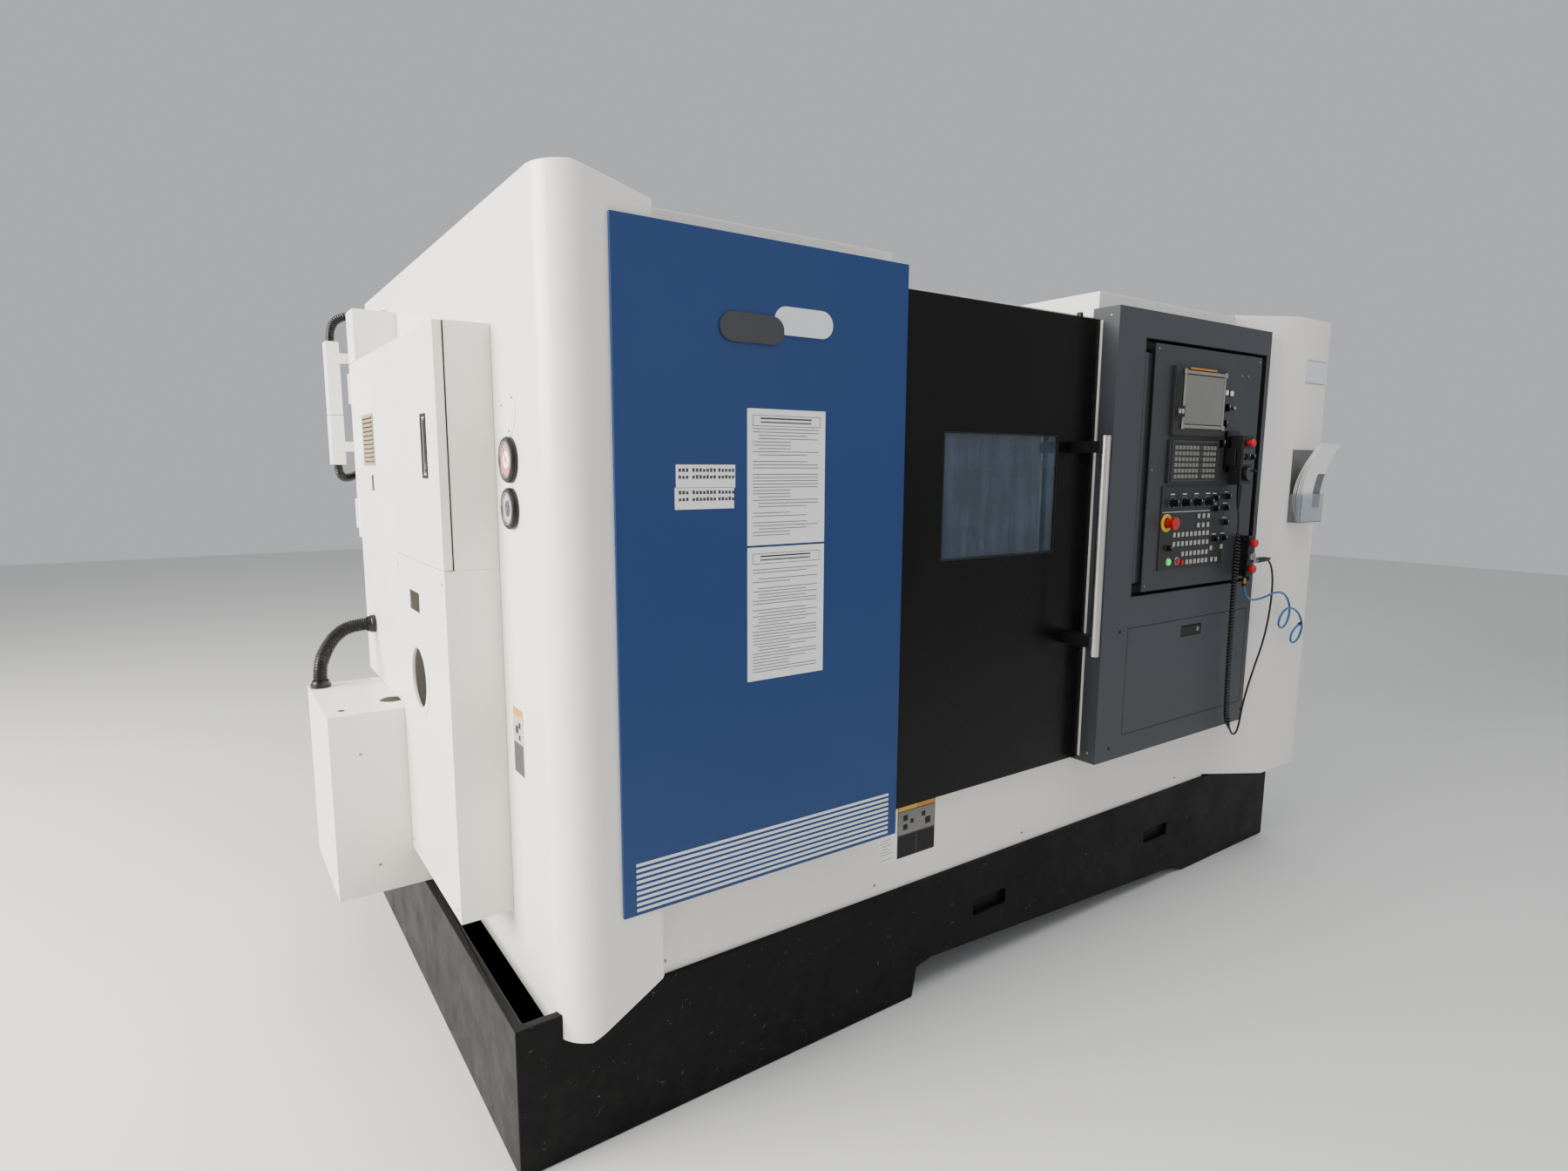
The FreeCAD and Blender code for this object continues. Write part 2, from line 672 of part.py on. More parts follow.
def z_drive():
    """Ball screw for the saddle with its servo motor and end bearing."""
    drop = -d.screw_drop
    length = d.screw_right - d.screw_left
    screw = rod("z_screw", (d.screw_left, d.screw_u, drop), "x", d.screw_radius, length, True)
    place(node(group("z_screw_set", screw), "z_ball_screw"), slanted=True)
    low = d.screw_u - d.motor_half
    body = box("z_motor_block",
               (d.screw_right + d.gap, low, d.gap - d.bed_drop),
               (d.screw_right + d.motor_long, low + d.motor_half * 2,
                d.motor_half * 2 - d.bed_drop), True)
    bearing = box("z_bearing_block", (d.screw_left - 12, d.screw_u - 22, -d.bed_drop),
                  (d.screw_left + 20, d.screw_u + 22, 28 - d.bed_drop), True)
    hole = rod("z_bearing_bore", (d.screw_left - 1, d.screw_u, drop), "x",
               d.screw_radius + d.running_fit, 40, True)
    bearing_ring = cut("z_bearing", bearing, hole)
    place(node(group("z_motor_set", body, bearing_ring), "z_axis_motor"), slanted=True)


def saddle():
    """Saddle on the upper two ways, with the ball nut under it."""
    low = d.rail_thick - d.bed_drop + d.gap
    plate = box("saddle_plate", (d.saddle_left, d.saddle_low, low),
                (d.saddle_right, d.saddle_high, low + d.saddle_thick), True)
    nut = box("saddle_nut", (d.saddle_left + 100, d.screw_u - 30, 2 - d.bed_drop),
              (d.saddle_left + 190, d.screw_u + 30, low + 5), True)
    hole = rod("saddle_nut_bore", (d.saddle_left, d.screw_u, -d.screw_drop), "x",
               d.screw_radius + d.running_fit, 320, True)
    whole = cut("saddle_cut", fuse("saddle_fused", plate, nut), hole)
    place(node(whole, "saddle"), slanted=True)


def cross_slide():
    """Slide that carries the turret towards the spindle axis."""
    low = d.rail_thick - d.bed_drop + d.gap * 2 + d.saddle_thick
    item = box("cross_slide_plate", (d.saddle_left + d.slide_inset, d.slide_low, low),
               (d.saddle_right - d.slide_inset, d.slide_high, low + d.slide_thick), True)
    place(node(group("cross_slide_set", item), "cross_slide"), slanted=True)
    return low + d.slide_thick


def turret(top):
    """Turret housing, twelve-sided disc and its tool holders."""
    centre = d.turret_u
    housing = box("turret_block", (d.turret_left, centre - d.turret_half, top),
                  (d.turret_right, centre + d.turret_half, d.turret_tall), True)
    place(node(group("turret_set", housing), "turret_body"), slanted=True)
    disc = Piece("turret_disc", slanted=True)
    bind(disc.body, "Placement.Base.y",
         d.spindle_y + centre * cosine(d.bed_slant) - d.origin_y)
    bind(disc.body, "Placement.Base.z", d.spindle_z + centre * sine(d.bed_slant))
    step = 360 / d.stations.value
    corner = d.disc_flat / math.cos(math.radians(step / 2))
    ring = []
    for number in range(int(d.stations.value)):
        angle = math.radians(step * (number + 0.5))
        ring.append((corner * math.cos(angle), corner * math.sin(angle)))
    right = d.turret_left - d.gap
    disc.pad("YZ_Plane", [ring], right - d.disc_thick, right)
    disc.pocket("YZ_Plane", [Round(0, 0, 62)], right - d.disc_thick - 1,
                right - d.disc_thick + 12)
    holder = Piece("tool_holders", slanted=True)
    bind(holder.body, "Placement.Base.y",
         d.spindle_y + centre * cosine(d.bed_slant) - d.origin_y)
    bind(holder.body, "Placement.Base.z", d.spindle_z + centre * sine(d.bed_slant))
    half = d.holder_wide / 2
    left = right - d.disc_thick + 10
    collar = holder.pad("YZ_Plane", [[
        (-half, d.disc_flat), (half, d.disc_flat), (half, d.disc_flat + 14),
        (-half, d.disc_flat + 14)]], left, left + 60)
    block = holder.pad("YZ_Plane", [rectangle(
        -half, d.disc_flat + 14, half, d.disc_flat + d.holder_tall)], left, left + 60)
    tool = holder.pad("YZ_Plane", [Round(0, d.disc_flat + d.holder_tall * 0.55, d.tool_radius)],
                      left - d.tool_long, left)
    holder.repeat([collar, block, tool], d.stations)


def tailstock():
    """Tailstock, its quill and the live centre."""
    low = d.rail_thick - d.bed_drop + d.gap
    foot = box("tail_foot", (d.tail_left, d.tail_low, low),
               (d.tail_right, d.tail_high, low + 70), True)
    web = box("tail_web", (d.tail_left + 20, -55, low + 60), (d.tail_right - 20, 55, 0), True)
    barrel = rod("tail_barrel", (d.tail_left, 0, 0), "x", d.tail_radius * 0.85,
                 d.tail_right - d.tail_left, True)
    bore = rod("tail_bore", (d.tail_left - 1, 0, 0), "x", d.quill_radius + d.running_fit,
               d.tail_right - d.tail_left - 40, True)
    whole = cut("tail_cut", fuse("tail_fused", foot, web, barrel), bore)
    place(node(whole, "tailstock"), slanted=True)
    quill = rod("quill_rod", (d.tail_left - d.quill_out, 0, 0), "x", d.quill_radius,
                d.quill_out + 180, True)
    socket = rod("quill_socket", (d.tail_left - d.quill_out - 1, 0, 0), "x",
                 14 + d.running_fit, 60, True)
    place(node(cut("quill_cut", quill, socket), "tailstock_quill"), slanted=True)
    mouth = d.tail_left - d.quill_out
    shank = rod("centre_shank", (mouth - d.gap, 0, 0), "x", 14, 50, True)
    head = rod("centre_head", (mouth - d.gap - 30, 0, 0), "x", 26, 30, True)
    tip = cone("centre_tip", (mouth - d.gap - 30 - d.centre_long * 0.5, 0, 0), 1, 18,
               d.centre_long * 0.5)
    place(node(fuse("centre_fused", shank, head, tip), "live_centre"), slanted=True)


# ---------------------------------------------------------------- enclosure


def left_fairing():
    """Folded column and side skin with one large rounded corner."""
    piece = Piece("left_fairing")
    x, y, wall = d.side_x, d.column_front, d.sheet
    outline = [
        (x, y, d.column_radius), (d.column_right, y), (d.column_right, y + wall),
        (x + wall, y + wall, d.column_radius - wall), (x + wall, d.side_rear),
        (x, d.side_rear),
    ]
    piece.pad("XY_Plane", [outline], d.column_bottom, d.column_top)
    start = d.side_x + d.column_radius * 0.6
    low_wedge = [
        (start, d.column_bottom - 1), (d.column_right + 1, d.column_bottom - 1),
        (d.column_right + 1, d.column_bottom_right),
    ]
    high_wedge = [
        (start, d.column_top + 1), (d.column_right + 1, d.column_top + 1),
        (d.column_right + 1, d.column_top_right),
    ]
    for wedge in (low_wedge, high_wedge):
        piece.pocket("XZ_Plane", [wedge], y - 1, y + d.column_radius)
    roof_line = [
        (y + d.column_radius, d.column_top), (d.side_rear + 1, d.side_top_rear),
        (d.side_rear + 1, d.column_top + 1), (y + d.column_radius, d.column_top + 1),
    ]
    piece.pocket("YZ_Plane", [roof_line], x - 1, x + wall + 1)
    clear = d.gap * 2
    piece.pocket("YZ_Plane", [rectangle(
        d.base_front - clear, d.column_bottom - 1,
        d.base_front + d.base_wall + clear, d.base_top + clear)],
        x - 1, x + d.column_radius * 0.3)
    piece.pocket("YZ_Plane", [rectangle(
        d.tank_rear - clear, d.column_bottom - 1, d.side_rear + 1, d.base_top + clear)],
        x - 1, x + wall + 1)
    reach = d.bar_ring_radius
    piece.pocket("YZ_Plane", [rectangle(
        d.spindle_y - reach, d.spindle_z - reach, d.spindle_y + reach, d.spindle_z + reach)],
        x - 1, x + wall + 1)


def front_wall():
    """White sheet wall behind the door, with the chamber opening."""
    piece = Piece("front_wall")
    piece.pad("XZ_Plane", [rectangle(
        d.column_right, d.base_top + 5, d.wall_right, d.wall_top),
        rectangle(d.opening_left, d.opening_low, d.opening_right, d.opening_high)],
        d.wall_y, d.wall_y + d.sheet)
    lip = 40
    piece.pad("XZ_Plane", [
        rectangle(d.opening_left - d.sheet, d.opening_low - d.sheet,
                  d.opening_right + d.sheet, d.opening_high + d.sheet),
        rectangle(d.opening_left, d.opening_low, d.opening_right, d.opening_high)],
        d.wall_y + d.sheet, d.wall_y + d.sheet + lip)
    piece.pad("XY_Plane", [rectangle(
        d.column_right, d.wall_y, d.wall_right, d.wall_y + 60)],
        d.base_top, d.base_top + 5)
    piece.pad("XY_Plane", [[
        (d.column_right, d.column_front + d.sheet), (d.column_right + d.sheet,
         d.column_front + d.sheet),
        (d.column_right + d.sheet, d.wall_y), (d.column_right, d.wall_y)]],
        d.column_bottom_right, d.door_bottom - 20)


def front_panel():
    """Blue fixed front panel: a shallow pan with a return down its right edge."""
    piece = Piece("front_panel")
    wall = d.sheet
    piece.pad("XZ_Plane", [rectangle(0, d.panel_bottom, d.panel_right, d.panel_top)],
              0, wall)
    piece.pad("XZ_Plane", [rectangle(
        d.panel_right - wall, d.panel_bottom, d.panel_right, d.panel_top)],
        wall, d.panel_return)
    piece.pad("XZ_Plane", [rectangle(
        0, d.panel_bottom, 60, d.panel_top)], wall, d.column_front)


def roof_cover():
    """Stepped roof: high over the headstock, low over the chamber."""
    piece = Piece("roof_cover")
    wall = d.sheet
    left = d.side_x + d.roof_inset
    profile = [
        (left, d.roof_top - wall), (d.roof_left_end - wall, d.roof_top - wall),
        (d.roof_left_end - wall, d.roof_low), (d.roof_right + wall, d.roof_low),
        (d.roof_right + wall, d.roof_low + wall), (d.roof_left_end, d.roof_low + wall),
        (d.roof_left_end, d.roof_top), (left, d.roof_top),
    ]
    front = d.wall_y
    piece.pad("XZ_Plane", [profile], front, d.side_rear - d.gap)
    piece.pad("XZ_Plane", [rectangle(
        d.column_right + d.gap, d.roof_low, d.roof_left_end, d.roof_top)],
        front, front + wall)


def upper_right_cover():
    """Raised cover over the control cabinet at the right of the roof."""
    piece = Piece("upper_right_cover")
    wall = d.sheet
    low = d.roof_low + wall + d.gap
    front = d.wall_y + wall + d.gap
    rear = d.side_rear - d.gap
    piece.pad("XY_Plane", [rectangle(d.roof_right, front, d.cover_right, rear)],
              low, d.cover_top)
    piece.pocket("XZ_Plane", [rectangle(
        d.roof_right + wall, low - 1, d.cover_right + 1, d.cover_top - wall)],
        front + wall, rear - wall)


def right_end_cover():
    """Right-hand fairing with an angled face, its inside open to the left."""
    piece = Piece("right_end_cover")
    wall = d.sheet
    left, right = d.cover_right + d.gap, d.end_right
    outline = [
        (left, d.wall_y + wall), (d.end_nose, d.end_front), (right, d.end_front),
        (right, d.side_rear - d.gap), (left, d.side_rear - d.gap),
    ]
    inside = [
        (left - 1, d.wall_y + wall * 2), (left, d.wall_y + wall * 2),
        (d.end_nose, d.end_front + wall), (right - wall, d.end_front + wall),
        (right - wall, d.side_rear - d.gap - wall), (left - 1, d.side_rear - d.gap - wall),
    ]
    piece.pad("XY_Plane", [outline], d.end_bottom, d.end_top)
    piece.pocket("XY_Plane", [inside], d.end_bottom + wall, d.end_top - wall)


def rear_wall():
    """Rear sheet wall with a swarf conveyor outlet."""
    piece = Piece("rear_wall")
    low, high = d.side_rear, d.side_rear + d.rear_panel
    piece.pad("XZ_Plane", [rectangle(
        d.side_x, d.base_top + 5, d.end_right, d.roof_top - 20)], low, high)
    inset = 40
    for left, right in ((d.side_x, d.roof_left_end), (d.roof_left_end, d.roof_right),
                        (d.roof_right, d.end_right)):
        piece.pocket("XZ_Plane", [rectangle(
            left + inset, d.base_top + 5 + inset, right - inset, d.roof_top - 20 - inset)],
            low, low + d.rear_panel - d.sheet)
    piece.pad("XY_Plane", [rectangle(
        d.side_x + d.sheet * 2, d.base_rear - 40, d.wall_right, low)],
        d.base_top, d.base_top + 9)


def door_guides():
    """Two flat guides that the sliding door runs on."""
    front = d.door_back + d.gap
    items = []
    spans = ((d.opening_low - 46, d.opening_low - 6),
             (d.opening_high + 10, d.opening_high + 50))
    for number, (low, high) in enumerate(spans, 1):
        items.append(box(f"guide_{number}", (d.column_right + 10, front, low),
                         (d.door_right - 4, d.wall_y, high)))
    node(group("guides", *items), "door_guides")


# ---------------------------------------------------------------- sliding door


def main_door():
    """Sliding door: folded skin with a stiffening frame round the window."""
    piece = Piece("main_door")
    skin = d.door_skin
    frame_front = d.door_front + skin
    opening = rectangle(d.window_left, d.window_bottom, d.window_right, d.window_top)
    piece.pad("XZ_Plane", [rectangle(
        d.door_left, d.door_bottom, d.door_right, d.door_top)], d.door_front, d.door_back)
    piece.pocket("XZ_Plane", [rectangle(
        d.door_left + skin, d.door_bottom + skin, d.door_right - skin, d.door_top - skin)],
        frame_front, d.door_back)
    piece.pad("XZ_Plane", [grown(
        d.window_left, d.window_bottom, d.window_right, d.window_top, d.window_frame)],
        frame_front, d.door_back - 3)
    piece.pocket("XZ_Plane", [opening], d.door_front, d.door_back)


def door_window():
    """Laminated window pane."""
    clear = d.gap
    pane = box("pane", (d.window_left + clear, d.pane_front, d.window_bottom + clear),
               (d.window_right - clear, d.pane_front + d.pane, d.window_top - clear))
    node(group("pane_set", pane), "door_window")


def door_handle():
    """Round pull bar on two stand-off brackets."""
    bar = rod("handle_bar", (d.handle_x, d.handle_y, d.handle_bottom), "z",
              d.handle_radius, d.handle_top - d.handle_bottom)
    node(group("handle_set", bar), "door_handle")
    arms = []
    for number, low in enumerate((d.bracket_low, d.bracket_high), 1):
        arm = box(f"bracket_block_{number}", (d.bracket_left, d.handle_y, low),
                  (d.bracket_right, d.door_front, low + d.bracket_tall))
        grip = rod(f"bracket_bore_{number}", (d.handle_x, d.handle_y, low - 1), "z",
                   d.handle_radius, d.bracket_tall + 2)
        arms.append(cut(f"bracket_{number}", arm, grip))
    node(group("bracket_set", *arms), "handle_brackets")


# ---------------------------------------------------------------- control housing


def control_housing():
    """Grey control housing with a deep recess and a service opening."""
    piece = Piece("control_housing")
    wall, front = d.sheet, d.housing_front
    back = d.wall_y - d.gap
    slope = (d.wall_y - d.end_front) / (d.end_nose - d.cover_right)
    corner = d.wall_y - (d.housing_right - d.cover_right) * slope - 2
    outline = [
        (d.housing_left, front), (d.housing_right, front), (d.housing_right, corner),
        (d.cover_right - 3, back), (d.housing_left, back),
    ]
    inside = [
        (d.housing_left + wall, front + wall), (d.housing_right - wall, front + wall),
        (d.housing_right - wall, corner - wall), (d.cover_right - 3 - wall, back + 1),
        (d.housing_left + wall, back + 1),
    ]
    piece.pad("XY_Plane", [outline], d.housing_bottom, d.housing_top)
    piece.pocket("XY_Plane", [inside], d.housing_bottom + wall, d.housing_top - wall)
    piece.pad("XZ_Plane", [grown(
        d.recess_left, d.recess_bottom, d.recess_right, d.recess_top, wall)],
        front + wall, corner - wall)
    piece.pocket("XZ_Plane", [rectangle(
        d.recess_left, d.recess_bottom, d.recess_right, d.recess_top)],
        front, corner - wall * 2)
    piece.pocket("XZ_Plane", [rectangle(
        d.hatch_left, d.hatch_bottom, d.hatch_right, d.hatch_top)], front, front + wall)


def access_door():
    """Lower service door of the housing, with a recess for its paddle latch."""
    piece = Piece("access_door")
    left, right = d.hatch_left + d.hatch_gap, d.hatch_right - d.hatch_gap
    low, high = d.hatch_bottom + d.hatch_gap, d.hatch_top - d.hatch_gap
    front = d.housing_front
    piece.pad("XZ_Plane", [rectangle(left, low, right, high)], front, front + 18)
    piece.pocket("XZ_Plane", [rectangle(left + 3, low + 3, right - 3, high - 3)],
                 front + 3, front + 18)
    piece.pad("XZ_Plane", [grown(
        d.latch_left, d.latch_bottom, d.latch_right, d.latch_top, 3)],
        front + 3, front + 16)
    piece.pocket("XZ_Plane", [rectangle(
        d.latch_left, d.latch_bottom, d.latch_right, d.latch_top)], front, front + 12)


def access_latch():
    """Paddle of the service door's flush latch, on its pin."""
    front = d.housing_front + 1
    paddle = box("paddle", (d.latch_left + 2, front, d.latch_bottom + 2),
                 (d.latch_right - 2, front + 7, d.latch_top - 4))
    pin = rod("paddle_pin", (d.latch_left + d.gap, front + 4, d.latch_top - 9), "x", 2,
              d.latch_right - d.latch_left - d.gap * 2)
    node(fuse("paddle_fused", paddle, pin), "access_door_latch")


# ---------------------------------------------------------------- operator panel


def operator_panel():
    """Hinged operator panel: face plate on a shallow box, bored for its push buttons."""
    piece = Piece("operator_panel")
    front, skin = d.plate_front, d.plate_skin
    back = front + skin
    piece.pad("XZ_Plane", [rectangle(
        d.plate_left, d.plate_bottom, d.plate_right, d.plate_top)], front, back)
    inset = 14
    low = rectangle(d.plate_left + inset, d.plate_bottom + inset,
                    d.plate_right - inset, d.plate_top - inset)
    deeper = rectangle(d.plate_left + inset + skin, d.plate_bottom + inset + skin,
                       d.plate_right - inset - skin, d.plate_top - inset - skin)
    piece.pad("XZ_Plane", [low, deeper], back, front + d.plate_depth)
    knuckle = d.recess_left + d.hinge_radius + d.gap
    low_z, high_z = d.plate_bottom + 30, d.plate_top - 30
    piece.pad("XZ_Plane", [rectangle(
        knuckle, low_z, d.plate_left + inset + 1, high_z)], d.hinge_y, d.hinge_y + 4)
    piece.pad("XY_Plane", [Round(knuckle, d.hinge_y, d.hinge_radius)], low_z, high_z)
    piece.pocket("XZ_Plane", button_holes(), front, back)


def button_holes():
    """Bores that the panel's push buttons pass through."""
    clear = d.gap
    return [
        Round(d.stop_x, d.stop_z, d.stop_stem_radius + clear),
        Round(d.start_x, d.button_z, d.button_radius + clear),
        Round(d.hold_x, d.button_z, d.button_radius + clear),
    ]


def panel_units():
    """Display, keypad and machine control units on the panel's face."""
    back = d.plate_front
    display = Piece("display_unit")
    display.pad("XZ_Plane", [rectangle(
        d.display_left, d.display_bottom, d.display_right, d.display_top)],
        d.display_front, back)
    display.pocket("XZ_Plane", [rectangle(
        d.display_left + 40, d.display_bottom + 32, d.display_right - 14,
        d.display_top - 22)], d.display_front, d.display_front + 2)
    keypad = Piece("keypad_unit")
    keypad.pad("XZ_Plane", [rectangle(
        d.keypad_left, d.keypad_bottom, d.keypad_right, d.keypad_top)],
        d.keypad_front, back)
    control = Piece("machine_control_unit")
    control.pad("XZ_Plane", [rectangle(
        d.keys_left, d.keys_bottom, d.keys_right, d.keys_top)], d.keys_front, back)
    control.pocket("XZ_Plane", button_holes(), d.keys_front, back)


def push_buttons():
    """Mushroom emergency stop and the two flat push buttons."""
    back = d.stem_back
    head_back = d.stop_head_front + d.stop_head_thick
    stem = rod("stop_stem", (d.stop_x, head_back, d.stop_z), "y", d.stop_stem_radius,
               back - head_back)
    head = rod("stop_head", (d.stop_x, d.stop_head_front, d.stop_z), "y",
               d.stop_head_radius, d.stop_head_thick)
    node(fuse("stop_fused", stem, head), "emergency_stop")
    for label, x in (("cycle_start_button", d.start_x), ("feed_hold_button", d.hold_x)):
        button = rod(f"{label}_rod", (x, d.button_front, d.button_z), "y",
                     d.button_radius, back - d.button_front)
        node(group(f"{label}_set", button), label)


def selector_knobs():
    """Row of rotary override and mode knobs."""
    back = d.keys_front - d.gap
    labels = ("mode_knob", "feed_override_knob", "rapid_override_knob",
              "spindle_override_knob")
    for number, label in enumerate(labels):
        x = d.knob_first_x + d.knob_pitch * number
        skirt = rod(f"{label}_skirt", (x, back - 6, d.knob_z), "y", d.knob_radius, 6)
        grip = box(f"{label}_grip", (x - 4, d.knob_front, d.knob_z - 11),
                   (x + 4, back - 6, d.knob_z + 11))
        node(fuse(f"{label}_fused", skirt, grip), label)


def pendant():
    """Handheld pulse generator in its holder, with its dial and stop button."""
    piece = Piece("handheld_pendant")
    left, right = d.pendant_left, d.pendant_right
    piece.pad("XZ_Plane", [rectangle(
        left, d.pendant_bottom, right, d.pendant_top)], d.pendant_front, d.pendant_back)
    middle = (left + right) / 2
    piece.pad("XZ_Plane", [rectangle(
        left + 12, d.pendant_bottom + 40, right - 12, d.pendant_top - 30)],
        d.pendant_back, d.plate_front)
    piece.pad("XY_Plane", [Round(middle + 3, (d.pendant_front + d.pendant_back) / 2 - 2, 8)],
              d.pendant_bottom - 40, d.pendant_bottom)
    piece.pocket("XZ_Plane", [Round(
        middle, d.pendant_stop_z, d.pendant_stop_radius * 0.6 + d.gap)],
        d.pendant_front, d.pendant_front + 14)
    skirt = rod("dial_rod", (middle, d.dial_front, d.dial_z), "y", d.dial_radius,
                d.pendant_front - d.gap - d.dial_front)
    node(group("dial_set", skirt), "pendant_dial")
    top_z = d.pendant_stop_z
    back = d.pendant_front - d.gap
    stem = rod("pendant_stop_stem", (middle, d.pendant_stop_front + 10, top_z), "y",
               d.pendant_stop_radius * 0.6, back - d.pendant_stop_front - 10 + d.pendant_sink)
    head = rod("pendant_stop_head", (middle, d.pendant_stop_front, top_z), "y",
               d.pendant_stop_radius, 10)
    node(fuse("pendant_stop_fused", stem, head), "pendant_stop_button")


def air_valve():
    """Air supply block with two stub fittings for the blow-gun hose."""
    middle = (d.valve_left + d.valve_right) / 2
    block = box("valve_block", (d.valve_left, d.valve_front, d.valve_bottom),
                (d.valve_right, d.plate_front, d.valve_top))
    outlet = rod("valve_outlet", (middle, d.outlet_y, d.valve_bottom - 14), "z", 6, 20)
    socket = rod("valve_socket", (d.valve_right - 2, d.socket_y, d.socket_z), "x", 9,
                 d.socket_end - d.valve_right + 2)
    node(fuse("valve_fused", block, outlet, socket), "air_valve_block")


def cords():
    """Pendant cord in two plain solids, and the blow-gun hose."""
    upper = tube("upper_lead", UPPER_LEAD, d.lead_diameter)
    lower = tube("lower_lead", LOWER_LEAD, d.lead_diameter)
    node(group("lead_set", upper, lower), "pendant_lead")
    coil = tube("coil_tube", COIL_ROUTE, d.coil_diameter)
    node(coil, "pendant_coil")
    hose = tube("hose_tube", HOSE_ROUTE, d.hose_diameter)
    node(hose, "air_hose")


# ---------------------------------------------------------------- left end equipment


def side_cabinet():
    """Hydraulic cabinet on the left side, open where its door sits."""
    piece = Piece("side_cabinet")
    wall = d.sheet
    outer, inner = d.cabinet_left + d.cabinet_door_thick, d.side_x - d.gap
    piece.pad("XZ_Plane", [rectangle(
        outer, d.cabinet_bottom, inner, d.cabinet_top)], d.cabinet_front, d.cabinet_rear)
    piece.pocket("YZ_Plane", [rectangle(
        d.cabinet_front + wall * 4, d.cabinet_bottom + wall * 4,
        d.cabinet_rear - wall * 4, d.cabinet_top - wall * 4)],
        outer, inner - wall)
    piece.pad("XZ_Plane", [rectangle(
        d.cabinet_left, d.cabinet_top, inner, d.riser_top)], d.riser_front, d.cabinet_rear)
    piece.pad("XZ_Plane", [rectangle(
        d.lower_left, d.low_box_top + d.gap, inner, d.cabinet_bottom)],
        d.chute_rear + d.gap, d.cabinet_rear)
    piece.pocket("YZ_Plane", [rectangle(
        d.chute_rear + wall * 2, d.low_box_top + wall * 2, d.cabinet_rear - wall * 2,
        d.cabinet_bottom - wall)], d.lower_left + wall, inner)
    piece.pocket("YZ_Plane", [rectangle(
        d.riser_front + wall, d.cabinet_top + wall, d.cabinet_rear - wall,
        d.riser_top - wall)], d.cabinet_left + wall, inner)


def cabinet_door():
    """Cabinet door with hinge knuckles, vent grille and a slot for its swing handle."""
    piece = Piece("cabinet_door")
    thick = d.cabinet_door_thick
    outer = d.cabinet_left
    piece.pad("YZ_Plane", [rectangle(
        d.cabinet_front, d.cabinet_bottom + 2, d.cabinet_rear, d.cabinet_top - 2)],
        outer, outer + thick - d.gap)
    piece.pocket("YZ_Plane", [rectangle(
        d.cabinet_front + 3, d.cabinet_bottom + 5, d.cabinet_rear - 3, d.cabinet_top - 5)],
        outer + 3, outer + thick - d.gap)
    slots = []
    for number in range(9):
        low = 1500 + number * 14
        slots.append(rectangle(1070, low, 1215, low + 6))
    piece.pocket("YZ_Plane", slots, outer, outer + 3)
    piece.pocket("YZ_Plane", [rectangle(
        d.cabinet_latch_y - 16, d.cabinet_latch_low, d.cabinet_latch_y + 16,
        d.cabinet_latch_high)], outer, outer + 3)
    for low in (d.cabinet_bottom + 30, d.cabinet_top - 30 - d.knuckle_tall):
        piece.pad("XY_Plane", [Round(outer, d.cabinet_rear, d.knuckle_radius)],
                  low, low + d.knuckle_tall)
    piece.pad("YZ_Plane", [
        grown(d.cabinet_latch_y - 16, d.cabinet_latch_low, d.cabinet_latch_y + 16,
              d.cabinet_latch_high, 3)], outer + 12, outer + 15)
    piece.pad("YZ_Plane", [
        grown(d.cabinet_latch_y - 16, d.cabinet_latch_low, d.cabinet_latch_y + 16,
              d.cabinet_latch_high, 3),
        rectangle(d.cabinet_latch_y - 16, d.cabinet_latch_low, d.cabinet_latch_y + 16,
                  d.cabinet_latch_high)], outer + 3, outer + 12)


def cabinet_latch():
    """Swing handle in the cabinet door's pocket, on its pin."""
    left = d.cabinet_left + 1
    handle = box("swing", (left, d.cabinet_latch_y - 10, d.cabinet_latch_low + 5),
                 (left + 8, d.cabinet_latch_y + 10, d.cabinet_latch_high - 5))
    pin = rod("swing_pin", (left + 4, d.cabinet_latch_y - 16 + d.gap,
                            d.cabinet_latch_high - 10), "y", 2.5, 32 - d.gap * 2)
    node(fuse("swing_fused", handle, pin), "cabinet_door_latch")


def bar_chute():
    """Lower side box with the bar hole on the spindle axis."""
    piece = Piece("bar_chute_box")
    wall = d.sheet
    left, inner = d.cabinet_left, d.side_x - d.gap
    piece.pad("YZ_Plane", [rectangle(
        d.cabinet_front, d.chute_bottom, d.chute_rear, d.cabinet_bottom)], left, inner)
    piece.pocket("YZ_Plane", [rectangle(
        d.cabinet_front + wall, d.chute_bottom + wall, d.chute_rear - wall,
        d.cabinet_bottom - wall)], left + wall, inner)
    piece.pocket("YZ_Plane", [
        Round(d.spindle_y, d.spindle_z, d.bar_hole_radius),
        rectangle(d.square_hole_low_y, d.square_hole_low_z, d.square_hole_high_y,
                  d.square_hole_high_z)], left - 1, left + wall)
    piece.pad("YZ_Plane", [
        Round(d.spindle_y, d.spindle_z, d.bar_ring_radius),
        Round(d.spindle_y, d.spindle_z, d.bar_hole_radius)], left - 2, left)


def low_box():
    """Low terminal box behind the chute, standing on the base."""
    piece = Piece("low_service_box")
    wall = d.sheet
    left, right = d.low_box_left, d.side_x - d.gap
    piece.pad("XY_Plane", [rectangle(
        left, d.low_box_front + d.gap, right, d.low_box_rear)], d.base_top, d.low_box_top)
    piece.pocket("XY_Plane", [rectangle(
        left + wall, d.low_box_front + d.gap + wall, right - wall, d.low_box_rear - wall)],
        d.base_top - 1, d.low_box_top - wall)
    hole_x = d.side_x - 130
    piece.pocket("XY_Plane", [Round(hole_x, d.low_box_front + 110, 34)],
                 d.low_box_top - wall, d.low_box_top)


